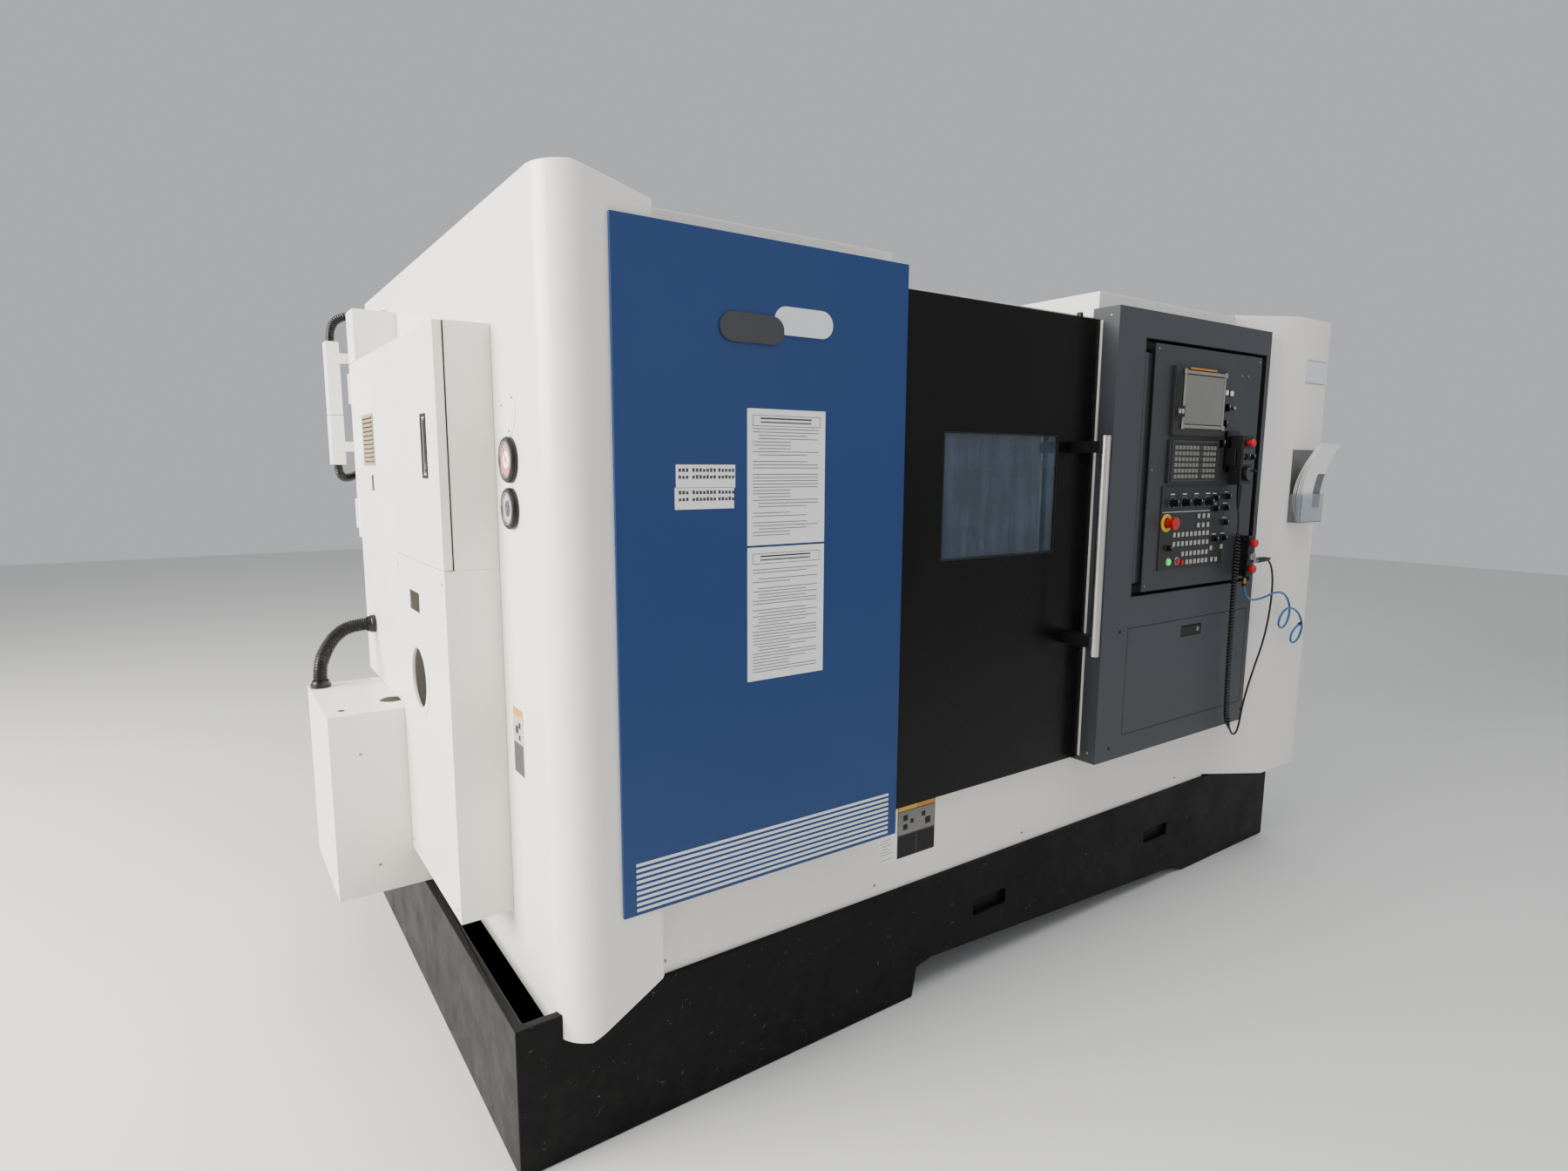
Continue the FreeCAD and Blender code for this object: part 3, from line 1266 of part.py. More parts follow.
def side_conduits():
    """Vertical duct on two straps, three corrugated conduits and their gland nuts."""
    duct = box("duct_box", (d.duct_left, d.duct_front, d.duct_bottom),
               (d.duct_right, d.duct_rear, d.duct_top))
    items = [duct]
    for number, low in enumerate((d.duct_bottom + 40, d.riser_top - 150), 1):
        items.append(box(f"duct_strap_{number}", (d.duct_left + 10, d.cabinet_rear, low),
                         (d.cabinet_left + 60, d.duct_front, low + 30)))
    nuts = (
        rod("rear_nut", (-200, d.cabinet_rear, 1472), "y", 22, 25),
        rod("roof_nut", (d.side_x - 20, 1436, 1948), "x", 22, 20),
        rod("side_nut", (d.lower_left - 24, 1262, 1010), "x", 28, 24),
        rod("box_nut", (-402, 1212, d.low_box_top), "z", 28, 20),
    )
    pipes = (
        tube("lower_conduit", LOWER_CONDUIT, d.small_conduit),
        tube("upper_conduit", UPPER_CONDUIT, d.small_conduit),
        tube("box_conduit", BOX_CONDUIT, d.large_conduit),
    )
    node(group("conduit_set", fuse("duct_on_straps", *items), *nuts, *pipes),
         "side_conduits")


def gauges():
    """Two round pressure gauges let into the left side."""
    items = []
    left = d.side_x - d.gauge_depth
    for number, (z, radius) in enumerate(
            ((d.gauge_high, d.gauge_radius), (d.gauge_low, d.gauge_radius - 4)), 1):
        flange = rod(f"gauge_{number}_flange", (d.side_x - 6, d.gauge_y, z), "x",
                     radius, 6 - d.gap)
        dial = rod(f"gauge_{number}_dial", (left, d.gauge_y, z), "x", radius - 5,
                   d.gauge_depth - 5)
        items.append(fuse(f"gauge_{number}", flange, dial))
    node(group("gauge_set", *items), "pressure_gauges")


def build():
    base_tank()
    bed_casting()
    headstock()
    spindle_motor()
    spindle()
    chuck_clamp_cylinder()
    chuck()
    z_drive()
    saddle()
    turret(cross_slide())
    tailstock()
    left_fairing()
    front_wall()
    front_panel()
    roof_cover()
    upper_right_cover()
    right_end_cover()
    rear_wall()
    door_guides()
    main_door()
    door_window()
    door_handle()
    control_housing()
    access_door()
    access_latch()
    operator_panel()
    panel_units()
    push_buttons()
    selector_knobs()
    pendant()
    air_valve()
    cords()
    side_cabinet()
    cabinet_door()
    cabinet_latch()
    bar_chute()
    low_box()
    side_conduits()
    gauges()


def check():
    """Stop if any object failed or any sub-part has no sound shape."""
    for item in doc.Objects:
        if "Invalid" in item.State or "Error" in item.State:
            raise RuntimeError(f"{item.Label} failed: {item.State}")
    for item in nodes:
        if item.Shape.isNull() or not item.Shape.isValid():
            raise RuntimeError(f"{item.Label} has no valid shape")


def export():
    os.makedirs("parts", exist_ok=True)
    for item in nodes:
        item.Shape.exportStep(f"parts/{item.Label}.step")
    print(len(nodes), "sub-parts written")


build()
doc.recompute()
check()
export()
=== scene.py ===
"""Looks of a slant-bed turning lathe: finishes, fittings, cords, light and camera.

Sizes are in millimetres from a datum at the lower left corner of the blue panel's
face, dropped to the floor: X to the right, Y into the machine and Z up.
"""

import json  # noqa: E402
import logging  # noqa: E402
import math  # noqa: E402
import random  # noqa: E402
from dataclasses import dataclass  # noqa: E402
from enum import Enum  # noqa: E402

import bmesh  # noqa: E402
import bpy  # noqa: E402
from mathutils import Matrix, Vector  # noqa: E402

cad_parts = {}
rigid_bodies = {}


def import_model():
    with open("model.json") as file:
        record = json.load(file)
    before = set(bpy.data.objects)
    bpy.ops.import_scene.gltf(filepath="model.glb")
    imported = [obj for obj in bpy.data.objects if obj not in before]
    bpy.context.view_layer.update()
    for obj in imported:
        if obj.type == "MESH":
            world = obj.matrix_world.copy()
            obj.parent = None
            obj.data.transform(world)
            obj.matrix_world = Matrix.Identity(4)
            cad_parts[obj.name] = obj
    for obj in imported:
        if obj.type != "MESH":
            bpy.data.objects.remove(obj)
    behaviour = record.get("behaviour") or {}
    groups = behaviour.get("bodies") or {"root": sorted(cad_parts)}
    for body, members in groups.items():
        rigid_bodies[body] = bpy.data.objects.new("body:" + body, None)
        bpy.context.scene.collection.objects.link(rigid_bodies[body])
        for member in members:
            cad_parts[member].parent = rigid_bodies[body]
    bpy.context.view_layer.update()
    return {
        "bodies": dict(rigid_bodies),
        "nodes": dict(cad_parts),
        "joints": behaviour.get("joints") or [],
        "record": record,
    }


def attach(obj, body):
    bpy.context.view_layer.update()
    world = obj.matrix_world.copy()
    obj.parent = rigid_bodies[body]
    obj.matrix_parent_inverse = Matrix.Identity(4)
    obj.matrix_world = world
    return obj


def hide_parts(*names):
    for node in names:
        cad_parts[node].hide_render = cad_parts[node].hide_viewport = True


log = logging.getLogger("turning_lathe")

Point = tuple[float, float, float]
Outline = list[tuple[float, float]]

MM = 0.001
DATUM_X = 1214.0
DATUM_Y = 842.0
REAR_FACE = 1790.0
ROOT_BODY = "machine"
SMOOTH_BELOW = math.radians(32)
FLAT_BELOW = math.radians(0.5)
WELD_WITHIN = 0.00002
SMEARS_PER_M = 7.0
SPECKS_PER_M = 26.0
SCUFFS_PER_M = 60.0
RUNS_PER_M = 55.0
CLOUDS_PER_M = 9.0
RUNS_DRAWN_DOWN = (1.0, 1.0, 0.06)
DUST_LEFT_ABOVE = 0.15
GLOSSIEST = 0.02
COAT_ROUGHNESS = 0.08
GLASS_ROUGHNESS = 0.03
GLASS_INDEX = 1.5


def at(x: float, y: float, z: float) -> Vector:
    """The place of a datum point in the model's own frame, in metres."""
    return Vector(((x - DATUM_X) * MM, (y - DATUM_Y) * MM, z * MM))


def colour(code: str) -> tuple[float, float, float, float]:
    """Turn an sRGB hex value to linear light.

    Args:
        code: Six hex digits, red first.

    Returns:
        Linear red, green, blue and a full alpha.
    """
    channels = [int(code[i:i + 2], 16) / 255 for i in (0, 2, 4)]
    linear = [c / 12.92 if c <= 0.04045 else ((c + 0.055) / 1.055) ** 2.4 for c in channels]
    return (*linear, 1.0)


def add(tree: bpy.types.NodeTree, kind: str, feeds: dict | None = None,
        **settings: object) -> bpy.types.Node:
    """Add a node to a tree.

    Args:
        tree: The shader or geometry tree.
        kind: Blender's name for the node.
        feeds: A socket or a plain value for each named or numbered input.
        settings: The node's own properties.

    Returns:
        The new node.
    """
    node = tree.nodes.new(kind)
    for key, value in settings.items():
        setattr(node, key, value)
    for socket, feed in (feeds or {}).items():
        if isinstance(feed, bpy.types.NodeSocket):
            tree.links.new(feed, node.inputs[socket])
        else:
            node.inputs[socket].default_value = feed
    return node


def noise(tree: bpy.types.NodeTree, place: bpy.types.NodeSocket, scale: float,
          detail: float, **more: float) -> bpy.types.NodeSocket:
    """Noise with so many features per metre, as its value socket."""
    return add(tree, "ShaderNodeTexNoise", {
        "Vector": place, "Scale": scale, "Detail": detail, **more}).outputs["Fac"]


def ramp(tree: bpy.types.NodeTree, value: bpy.types.NodeSocket,
         given: tuple[float, float], wanted: tuple[float, float]) -> bpy.types.NodeSocket:
    """Carry one range of a value over to another."""
    return add(tree, "ShaderNodeMapRange", {
        "Value": value, "From Min": given[0], "From Max": given[1],
        "To Min": wanted[0], "To Max": wanted[1]}).outputs["Result"]


def blend(tree: bpy.types.NodeTree, share: bpy.types.NodeSocket,
          one: object, two: object) -> bpy.types.NodeSocket:
    """Mix two colours by a share."""
    return add(tree, "ShaderNodeMix", {"Factor": share, "A": one, "B": two},
               data_type="RGBA").outputs["Result"]


def maths(tree: bpy.types.NodeTree, operation: str, one: object,
          two: object) -> bpy.types.NodeSocket:
    """One sum on two sockets or numbers."""
    return add(tree, "ShaderNodeMath", {0: one, 1: two},
               operation=operation).outputs["Value"]


def linked(item: bpy.types.Object) -> bpy.types.Object:
    """Link an object to the scene."""
    bpy.context.scene.collection.objects.link(item)
    return item


def start_material(name: str, **values: object) -> tuple[bpy.types.Material, bpy.types.Node]:
    """A new material and its shader, with input values ("Coat_Weight" for "Coat Weight")."""
    material = bpy.data.materials.new(name)
    material.use_nodes = True
    shader = material.node_tree.nodes["Principled BSDF"]
    for label, value in values.items():
        shader.inputs[label.replace("_", " ")].default_value = value
    return material, shader


def start_group(name: str, output: str,
                **inputs: str) -> tuple[bpy.types.NodeTree, bpy.types.NodeOutputs]:
    """Start a geometry tree.

    Args:
        name: The tree's name.
        output: The label of its one output, a geometry.
        inputs: The kind of socket for each labelled input.

    Returns:
        The tree and the sockets that its inputs arrive on.
    """
    tree = bpy.data.node_groups.new(name, "GeometryNodeTree")
    for label, kind in inputs.items():
        tree.interface.new_socket(label, in_out="INPUT", socket_type=f"NodeSocket{kind}")
    tree.interface.new_socket(output, in_out="OUTPUT", socket_type="NodeSocketGeometry")
    return tree, tree.nodes.new("NodeGroupInput").outputs


def end_group(tree: bpy.types.NodeTree, shape: bpy.types.NodeSocket,
              finish: bpy.types.NodeSocket, output: str) -> None:
    """Give a tree's geometry its finish and send it out."""
    painted = add(tree, "GeometryNodeSetMaterial", {"Geometry": shape, "Material": finish})
    add(tree, "NodeGroupOutput", {output: painted.outputs["Geometry"]})


def run_group(item: bpy.types.Object, tree: bpy.types.NodeTree,
              values: dict[str, object]) -> None:
    """Put a geometry tree on an object, with a value for each input that needs one."""
    modifier = item.modifiers.new(tree.name, "NODES")
    modifier.node_group = tree
    for socket in tree.interface.items_tree:
        if socket.in_out == "INPUT" and socket.name in values:
            modifier[socket.identifier] = values[socket.name]


# ------------------------------------------------------------------ finishes


class Grain(Enum):
    """The way a brushed or streaked surface runs."""

    EVEN = (1.0, 1.0, 1.0)
    ALONG_X = (0.02, 1.0, 1.0)
    ALONG_Z = (1.0, 1.0, 0.02)


@dataclass(frozen=True)
class Finish:
    """One surface finish, made from noise at real sizes.

    The patch is the slow change of colour over a sheet, the smear a handled or wiped
    change of gloss, and the texture the fine relief of the coat or moulding.
    """

    name: str
    base: str
    patch: str
    rough: float
    smear: float = 0.06
    metallic: float = 0.0
    coat: float = 0.0
    texture_mm: float = 3.0
    relief_mm: float = 0.02
    grain: Grain = Grain.EVEN
    patch_mm: float = 600.0
    dust: str = "8C857A"
    dust_top_mm: float = 0.0
    dust_share: float = 0.0
    scuff: str = "9A9A98"
    scuff_share: float = 0.0
    glow: float = 0.0
    mirror: float = 0.5
    clear: float = 0.0

    def make(self) -> bpy.types.Material:
        """Build the material's nodes.

        Returns:
            The finished material.
        """
        material, shader = start_material(
            self.name, Metallic=self.metallic, Coat_Weight=self.coat,
            Coat_Roughness=COAT_ROUGHNESS, Specular_IOR_Level=self.mirror,
            Transmission_Weight=self.clear)
        tree = material.node_tree
        place = add(tree, "ShaderNodeTexCoord").outputs["Object"]
        patches = noise(tree, place, 1000 / self.patch_mm, 4.0)
        tone = blend(tree, patches, colour(self.base), colour(self.patch))
        tone = self.dusted(tree, place, tone)
        tone = self.scuffed(tree, place, tone)
        tree.links.new(tone, shader.inputs["Base Color"])
        gloss = ramp(tree, noise(tree, place, SMEARS_PER_M, 6.0, Roughness=0.65), (0.3, 0.7),
                     (max(self.rough - self.smear, GLOSSIEST), self.rough + self.smear))
        tree.links.new(gloss, shader.inputs["Roughness"])
        if self.relief_mm:
            self.relieved(tree, place, shader)
        if self.glow:
            shader.inputs["Emission Color"].default_value = colour(self.base)
            shader.inputs["Emission Strength"].default_value = self.glow
        return material

    def relieved(self, tree: bpy.types.NodeTree, place: bpy.types.NodeSocket,
                 shader: bpy.types.Node) -> None:
        """Give the surface its fine relief, stretched along the grain."""
        turned = add(tree, "ShaderNodeMapping", {"Vector": place, "Scale": self.grain.value})
        fine = noise(tree, turned.outputs["Vector"], 1000 / self.texture_mm, 2.0)
        bump = add(tree, "ShaderNodeBump", {
            "Height": fine, "Distance": self.relief_mm * MM, "Strength": 1.0})
        tree.links.new(bump.outputs["Normal"], shader.inputs["Normal"])

    def dusted(self, tree: bpy.types.NodeTree, place: bpy.types.NodeSocket,
               tone: bpy.types.NodeSocket) -> bpy.types.NodeSocket:
        """Settle dust and splashes on the part of the piece that is near the floor."""
        if not self.dust_share:
            return tone
        height = add(tree, "ShaderNodeSeparateXYZ", {"Vector": place}).outputs["Z"]
        low = ramp(tree, height, (0.0, self.dust_top_mm * MM),
                   (self.dust_share, self.dust_share * DUST_LEFT_ABOVE))
        specks = noise(tree, place, SPECKS_PER_M, 8.0, Roughness=0.7)
        clumps = ramp(tree, specks, (0.42, 0.72), (0.0, 1.0))
        return blend(tree, maths(tree, "MULTIPLY", low, clumps), tone, colour(self.dust))

    def scuffed(self, tree: bpy.types.NodeTree, place: bpy.types.NodeSocket,
                tone: bpy.types.NodeSocket) -> bpy.types.NodeSocket:
        """Scatter a few fine scuffs and chips."""
        if not self.scuff_share:
            return tone
        spots = noise(tree, place, SCUFFS_PER_M, 5.0, Distortion=1.2)
        marks = ramp(tree, spots, (0.69, 0.73), (0.0, self.scuff_share))
        return blend(tree, marks, tone, colour(self.scuff))


@dataclass(frozen=True)
class Pane:
    """Laminated window glass with dried coolant runs on its inner face."""

    name: str = "laminated_glass"
    tint: str = "B9C6D2"
    run: str = "72839A"
    clearest: float = 0.12
    haze: float = 0.3

    def make(self) -> bpy.types.Material:
        """Mix clear glass with a thin milky film that runs down it.

        Returns:
            The finished material.
        """
        material, glass = start_material(
            self.name, Base_Color=colour(self.tint), Transmission_Weight=1.0,
            Roughness=GLASS_ROUGHNESS, IOR=GLASS_INDEX)
        tree = material.node_tree
        place = add(tree, "ShaderNodeTexCoord").outputs["Object"]
        drawn = add(tree, "ShaderNodeMapping", {"Vector": place, "Scale": RUNS_DRAWN_DOWN})
        runs = noise(tree, drawn.outputs["Vector"], RUNS_PER_M, 5.0, Roughness=0.7)
        clouds = noise(tree, place, CLOUDS_PER_M, 4.0)
        share = ramp(tree, maths(tree, "MULTIPLY", runs, clouds), (0.16, 0.42),
                     (self.clearest, self.haze))
        film = add(tree, "ShaderNodeBsdfDiffuse", {"Color": colour(self.run)})
        mixed = add(tree, "ShaderNodeMixShader", {
            "Fac": share, 1: glass.outputs["BSDF"], 2: film.outputs["BSDF"]})
        tree.links.new(mixed.outputs["Shader"], tree.nodes["Material Output"].inputs["Surface"])
        return material


class Skin(Enum):
    """Every finish on the machine, with the record's slot that it belongs to."""

    # Warm white powder coat on sheet steel: soft gloss with a slight orange peel.
    WHITE = ("white_paint", Finish("powder_coat_white", "EFEDE7", "E8E5DE", 0.34, coat=0.12,
                                   texture_mm=4, relief_mm=0.012, dust="B5AD9F",
                                   dust_top_mm=600, dust_share=0.16, mirror=0.4))
    # Blue sheet enamel: satin, the slow drift of a rolled sheet in its sheen.
    BLUE = ("blue_paint", Finish("enamel_blue", "183C72", "15366A", 0.4, coat=0.05,
                                 texture_mm=3, relief_mm=0.012, mirror=0.35))
    # Black enamel on the door: a soft sheen that shows wiping, almost no reflection.
    BLACK = ("black_gloss", Finish("enamel_black", "09090A", "0D0C0E", 0.3, smear=0.08,
                                   coat=0.03, texture_mm=5, relief_mm=0.01, mirror=0.16))
    # Grey structure powder coat: matt with a fine pebble.
    GREY = ("grey_paint", Finish("structure_coat_grey", "43464B", "3E4146", 0.5,
                                 texture_mm=1.6, relief_mm=0.06, mirror=0.35))
    # Charcoal machine enamel on the welded base: small chips, dusty near the floor.
    BASE = ("base_paint", Finish("machine_enamel_charcoal", "0F0F10", "141415", 0.46,
                                 smear=0.1, texture_mm=6, relief_mm=0.05, dust="6E675E",
                                 dust_top_mm=420, dust_share=0.05, scuff_share=0.2,
                                 mirror=0.1))
    # Grey filler paint on iron castings: matt and lumpy.
    IRON = ("machine_iron", Finish("cast_iron_painted", "6A6D70", "5C5F62", 0.55,
                                   texture_mm=5, relief_mm=0.15, patch_mm=200))
    # Ground and turned steel: fine lines, oily sheen.
    STEEL = ("bright_steel", Finish("ground_steel", "B4B4B2", "9C9C9B", 0.26, metallic=1.0,
                                    texture_mm=1.2, relief_mm=0.02, grain=Grain.ALONG_X,
                                    patch_mm=90))
    # Satin anodised aluminium tube, drawn along its length.
    ALUMINIUM = ("satin_aluminium", Finish("anodised_aluminium", "D2D1CC", "C4C3BE", 0.34,
                                           metallic=1.0, texture_mm=0.8, relief_mm=0.01,
                                           grain=Grain.ALONG_Z, patch_mm=200))
    # Laminated glass, clear under a thin film that dried in runs.
    GLASS = ("window_glass", Pane())
    # Matt structured plate behind the controls.
    PLATE = ("panel_plastic", Finish("structure_coat_plate", "34373B", "303337", 0.48,
                                     texture_mm=1.4, relief_mm=0.05))
    # Moulded ABS of the control units: darker and smoother than the plate.
    MOULDING = ("panel_plastic", Finish("moulded_abs_black", "1B1C1E", "202123", 0.42,
                                        texture_mm=0.9, relief_mm=0.03))
    # Grey-beige ABS of the screen's frame, worn matt.
    BEZEL = ("display_plastic", Finish("moulded_abs_pale", "8C8A82", "7E7C75", 0.42,
                                       texture_mm=1, relief_mm=0.02))
    # Screen cover glass over a dark panel: dull grey-green under a glossy face.
    SCREEN = ("display_plastic", Finish("screen_glass", "77786F", "62645E", 0.12, smear=0.05,
                                        coat=0.6, relief_mm=0, patch_mm=120))
    # Moulded red nylon of stop heads, buttons and taps: plain colour with a soft shine.
    RED = ("red_plastic", Finish("moulded_nylon_red", "C3181C", "AC1418", 0.32,
                                 texture_mm=1, relief_mm=0.02))
    # Lit green lens: smooth and glowing from inside.
    GREEN = ("green_plastic", Finish("lit_lens_green", "18C94C", "10B840", 0.2, relief_mm=0,
                                     glow=1.6))
    # Glass-filled black nylon: near black with a grainy, dull highlight.
    BLACK_PLASTIC = ("black_plastic", Finish("moulded_nylon_black", "0D0D0E", "121213", 0.4,
                                             texture_mm=1, relief_mm=0.03, mirror=0.35))
    # Soft PVC cord jacket: dark with a wide, weak highlight.
    RUBBER = ("cord_rubber", Finish("pvc_jacket_black", "101011", "161617", 0.38,
                                    texture_mm=1, relief_mm=0.02))
    # Blue polyurethane tube: bright, smooth and slightly waxy.
    HOSE = ("hose_plastic", Finish("polyurethane_blue", "10578F", "145F98", 0.24,
                                   relief_mm=0, coat=0.3))
    # Machined brass: warm yellow with fine tool marks.
    BRASS = ("brass", Finish("machined_brass", "B38A45", "A27B3B", 0.3, metallic=1.0,
                             texture_mm=0.8, relief_mm=0.01, patch_mm=20))
    # From here on, finishes that only the fittings made here have.
    # Office paper: matt and a little off white.
    PAPER = (None, Finish("laser_paper", "F4F4F2", "ECECEA", 0.62, texture_mm=1.5,
                          relief_mm=0.02))
    # Toner: flat dark grey with thin coverage.
    INK = (None, Finish("toner_grey", "5B5B5D", "77777A", 0.6, relief_mm=0, patch_mm=15))
    # Pale vinyl film: even and satin.
    STRIPE = (None, Finish("vinyl_pale", "E2E6EA", "D8DDE3", 0.4, relief_mm=0))
    # Screen-printed amber: flat.
    AMBER = (None, Finish("printed_amber", "D98A1E", "C97C18", 0.45, relief_mm=0))
    # Moulded yellow plastic of rings and warning fields: satin.
    YELLOW = (None, Finish("moulded_yellow", "E3B81E", "D4A814", 0.4, relief_mm=0.01))
    # Pale key tops, slightly soiled from use.
    KEY = (None, Finish("moulded_key_pale", "B3B2AC", "A3A29C", 0.4, relief_mm=0.01,
                        patch_mm=30))
    # Keys under a dusty cover film: greyer and duller.
    DULL_KEY = (None, Finish("moulded_key_dull", "807E78", "6C6A65", 0.42, relief_mm=0.01,
                             patch_mm=30))
    # Dark printed field: even, satin.
    SLATE = (None, Finish("printed_slate", "3A3B3E", "333437", 0.45, relief_mm=0))
    # Clear cast acrylic sheet: faint blue at its edges.
    ACRYLIC = (None, Finish("cast_acrylic", "EDF1F5", "E4EAF0", 0.06, smear=0.03, relief_mm=0,
                              clear=0.9))
    # Zinc plate on screws and trim: light grey metal, softly mottled.
    SCREW = (None, Finish("zinc_plated", "A5A6A6", "8F9091", 0.32, metallic=1.0,
                          relief_mm=0.01, patch_mm=10))
    # Foam gasket, printed black fields, and painted shade in gaps, slots and recesses: black with
    # no shine.
    SHADOW = (None, Finish("gasket_black", "0A0A0A", "0E0E0E", 0.7, relief_mm=0.05))
    # Tan filter frame and mat: fibrous and dry.
    FILTER = (None, Finish("filter_mat_tan", "9A8B72", "85775F", 0.8, texture_mm=2,
                           relief_mm=0.3))
    # Printed gauge faces behind a lens.
    GAUGE_RED = (None, Finish("gauge_face_red", "C98A78", "B06A58", 0.3, relief_mm=0,
                              patch_mm=25))
    GAUGE_GREY = (None, Finish("gauge_face_grey", "A9B0B4", "93999D", 0.3, relief_mm=0,
                               patch_mm=25))

    @property
    def slot(self) -> str | None:
        """The record's material slot, or None."""
        return self.value[0]

    @property
    def material(self) -> bpy.types.Material:
        """The material, made once."""
        finish = self.value[1]
        return bpy.data.materials.get(finish.name) or finish.make()


# ------------------------------------------------------------------ mesh tools


class Axis(Enum):
    """An axis that an outline is carried along, or a turned part is turned about."""

    X = 0
    Y = 1
    Z = 2

    def point(self, along: float, a: float, b: float) -> Point:
        """A datum point from its place along this axis and on the other two."""
        return {Axis.X: (along, a, b), Axis.Y: (a, along, b), Axis.Z: (a, b, along)}[self]


class Facing(Enum):
    """Which way a small fitting points, as the turn that takes +Z there."""

    FRONT = (math.pi / 2, 0.0, 0.0)
    LEFT = (0.0, -math.pi / 2, 0.0)
    RIGHT = (0.0, math.pi / 2, 0.0)
    REAR = (-math.pi / 2, 0.0, 0.0)
    UP = (0.0, 0.0, 0.0)


class Piece:
    """A mesh put together from simple forms, in millimetres from the datum."""

    def __init__(self, name: str, body: str = ROOT_BODY) -> None:
        """Start an empty piece that will ride on a body."""
        self.name = name
        self.body = body
        self.mesh = bmesh.new()
        self.skins: list[Skin] = []

    def absorb(self, part: bmesh.types.BMesh, skin: Skin, bevel: float,
               segments: int = 2) -> "Piece":
        """Soften a closed form's edges and add it to the piece.

        Args:
            part: The form, in metres. It is used up.
            skin: Its finish.
            bevel: How far its sharp edges are rounded, in millimetres.
            segments: Steps across each rounded edge.

        Returns:
            The piece.
        """
        if skin not in self.skins:
            self.skins.append(skin)
        bmesh.ops.recalc_face_normals(part, faces=part.faces[:])
        if bevel:
            sharp = [e for e in part.edges
                     if len(e.link_faces) == 2 and e.calc_face_angle() > SMOOTH_BELOW]
            bmesh.ops.bevel(part, geom=sharp, offset=bevel * MM, segments=segments,
                            profile=0.5, affect="EDGES", clamp_overlap=True)
        for face in part.faces:
            face.material_index = self.skins.index(skin)
            face.smooth = True
        held = bpy.data.meshes.new("held")
        part.to_mesh(held)
        part.free()
        self.mesh.from_mesh(held)
        bpy.data.meshes.remove(held)
        return self

    def block(self, low: Point, high: Point, skin: Skin, bevel: float = 0.0,
              segments: int = 2) -> "Piece":
        """A box between two corners."""
        a, b = at(*low), at(*high)
        part = bmesh.new()
        size = Matrix.Diagonal((*(b - a), 1.0))
        bmesh.ops.create_cube(part, size=1.0, matrix=Matrix.Translation((a + b) / 2) @ size)
        return self.absorb(part, skin, bevel, segments)

    def prism(self, outline: Outline, axis: Axis, low: float, high: float, skin: Skin,
              bevel: float = 0.0) -> "Piece":
        """An outline carried between two levels along an axis."""
        part = bmesh.new()
        ends = [[part.verts.new(at(*axis.point(level, a, b))) for a, b in outline]
                for level in (low, high)]
        part.faces.new(ends[0])
        part.faces.new(list(reversed(ends[1])))
        for i in range(len(outline)):
            j = (i + 1) % len(outline)
            part.faces.new((ends[0][i], ends[0][j], ends[1][j], ends[1][i]))
        return self.absorb(part, skin, bevel)

    def turned(self, profile: Outline, axis: Axis, centre: tuple[float, float],
               skin: Skin, bevel: float = 0.0, steps: int = 32) -> "Piece":
        """A profile turned about a line along an axis.

        Args:
            profile: (place along the axis, radius) pairs. A radius of 0 closes it.
            axis: The direction of the line.
            centre: The line's place on the other two axes.
            skin: The finish.
            bevel: Rounding of its sharp edges.
            steps: Flats round a full turn.

        Returns:
            The piece.
        """
        part = bmesh.new()
        rings = []
        for along, radius in profile:
            count = steps if radius > 0 else 1
            ring = []
            for i in range(count):
                turn = 2 * math.pi * i / count
                a = centre[0] + radius * math.cos(turn)
                b = centre[1] + radius * math.sin(turn)
                ring.append(part.verts.new(at(*axis.point(along, a, b))))
            rings.append(ring)
        closed = profile[0][1] > 0 and profile[-1][1] > 0
        pairs = list(zip(rings, rings[1:] + rings[:1])) if closed else list(zip(rings, rings[1:]))
        for one, two in pairs:
            for i in range(steps):
                j = (i + 1) % steps
                corners = [one[i % len(one)], one[j % len(one)],
                           two[j % len(two)], two[i % len(two)]]
                unique = list(dict.fromkeys(corners))
                if len(unique) > 2:
                    part.faces.new(unique)
        return self.absorb(part, skin, bevel)

    def rod(self, axis: Axis, centre: tuple[float, float], near: float, far: float,
            radius: float, skin: Skin, bevel: float = 0.0, steps: int = 32) -> "Piece":
        """A plain round rod between two levels along an axis."""
        return self.turned([(near, 0.0), (near, radius), (far, radius), (far, 0.0)], axis,
                           centre, skin, bevel, steps)

    def frame(self, low: tuple[float, float], high: tuple[float, float], width: float,
              axis: Axis, near: float, far: float, skin: Skin, bevel: float = 0.0) -> "Piece":
        """A rectangular ring of four bars between two levels along an axis."""
        (a, b), (c, d) = low, high
        for bar in (((a, b), (c, b + width)), ((a, d - width), (c, d)),
                    ((a, b + width), (a + width, d - width)),
                    ((c - width, b + width), (c, d - width))):
            self.block(axis.point(near, *bar[0]), axis.point(far, *bar[1]), skin, bevel)
        return self

    def made(self, *stands_for: str) -> bpy.types.Object:
        """Turn the piece into an object that rides on its body.

        Args:
            stands_for: CAD nodes that the piece takes the place of.

        Returns:
            The object.
        """
        data = bpy.data.meshes.new(self.name)
        self.mesh.to_mesh(data)
        self.mesh.free()
        for skin in self.skins:
            data.materials.append(skin.material)
        return settle(bpy.data.objects.new(self.name, data), self.body,
                      self.skins[0], *stands_for)


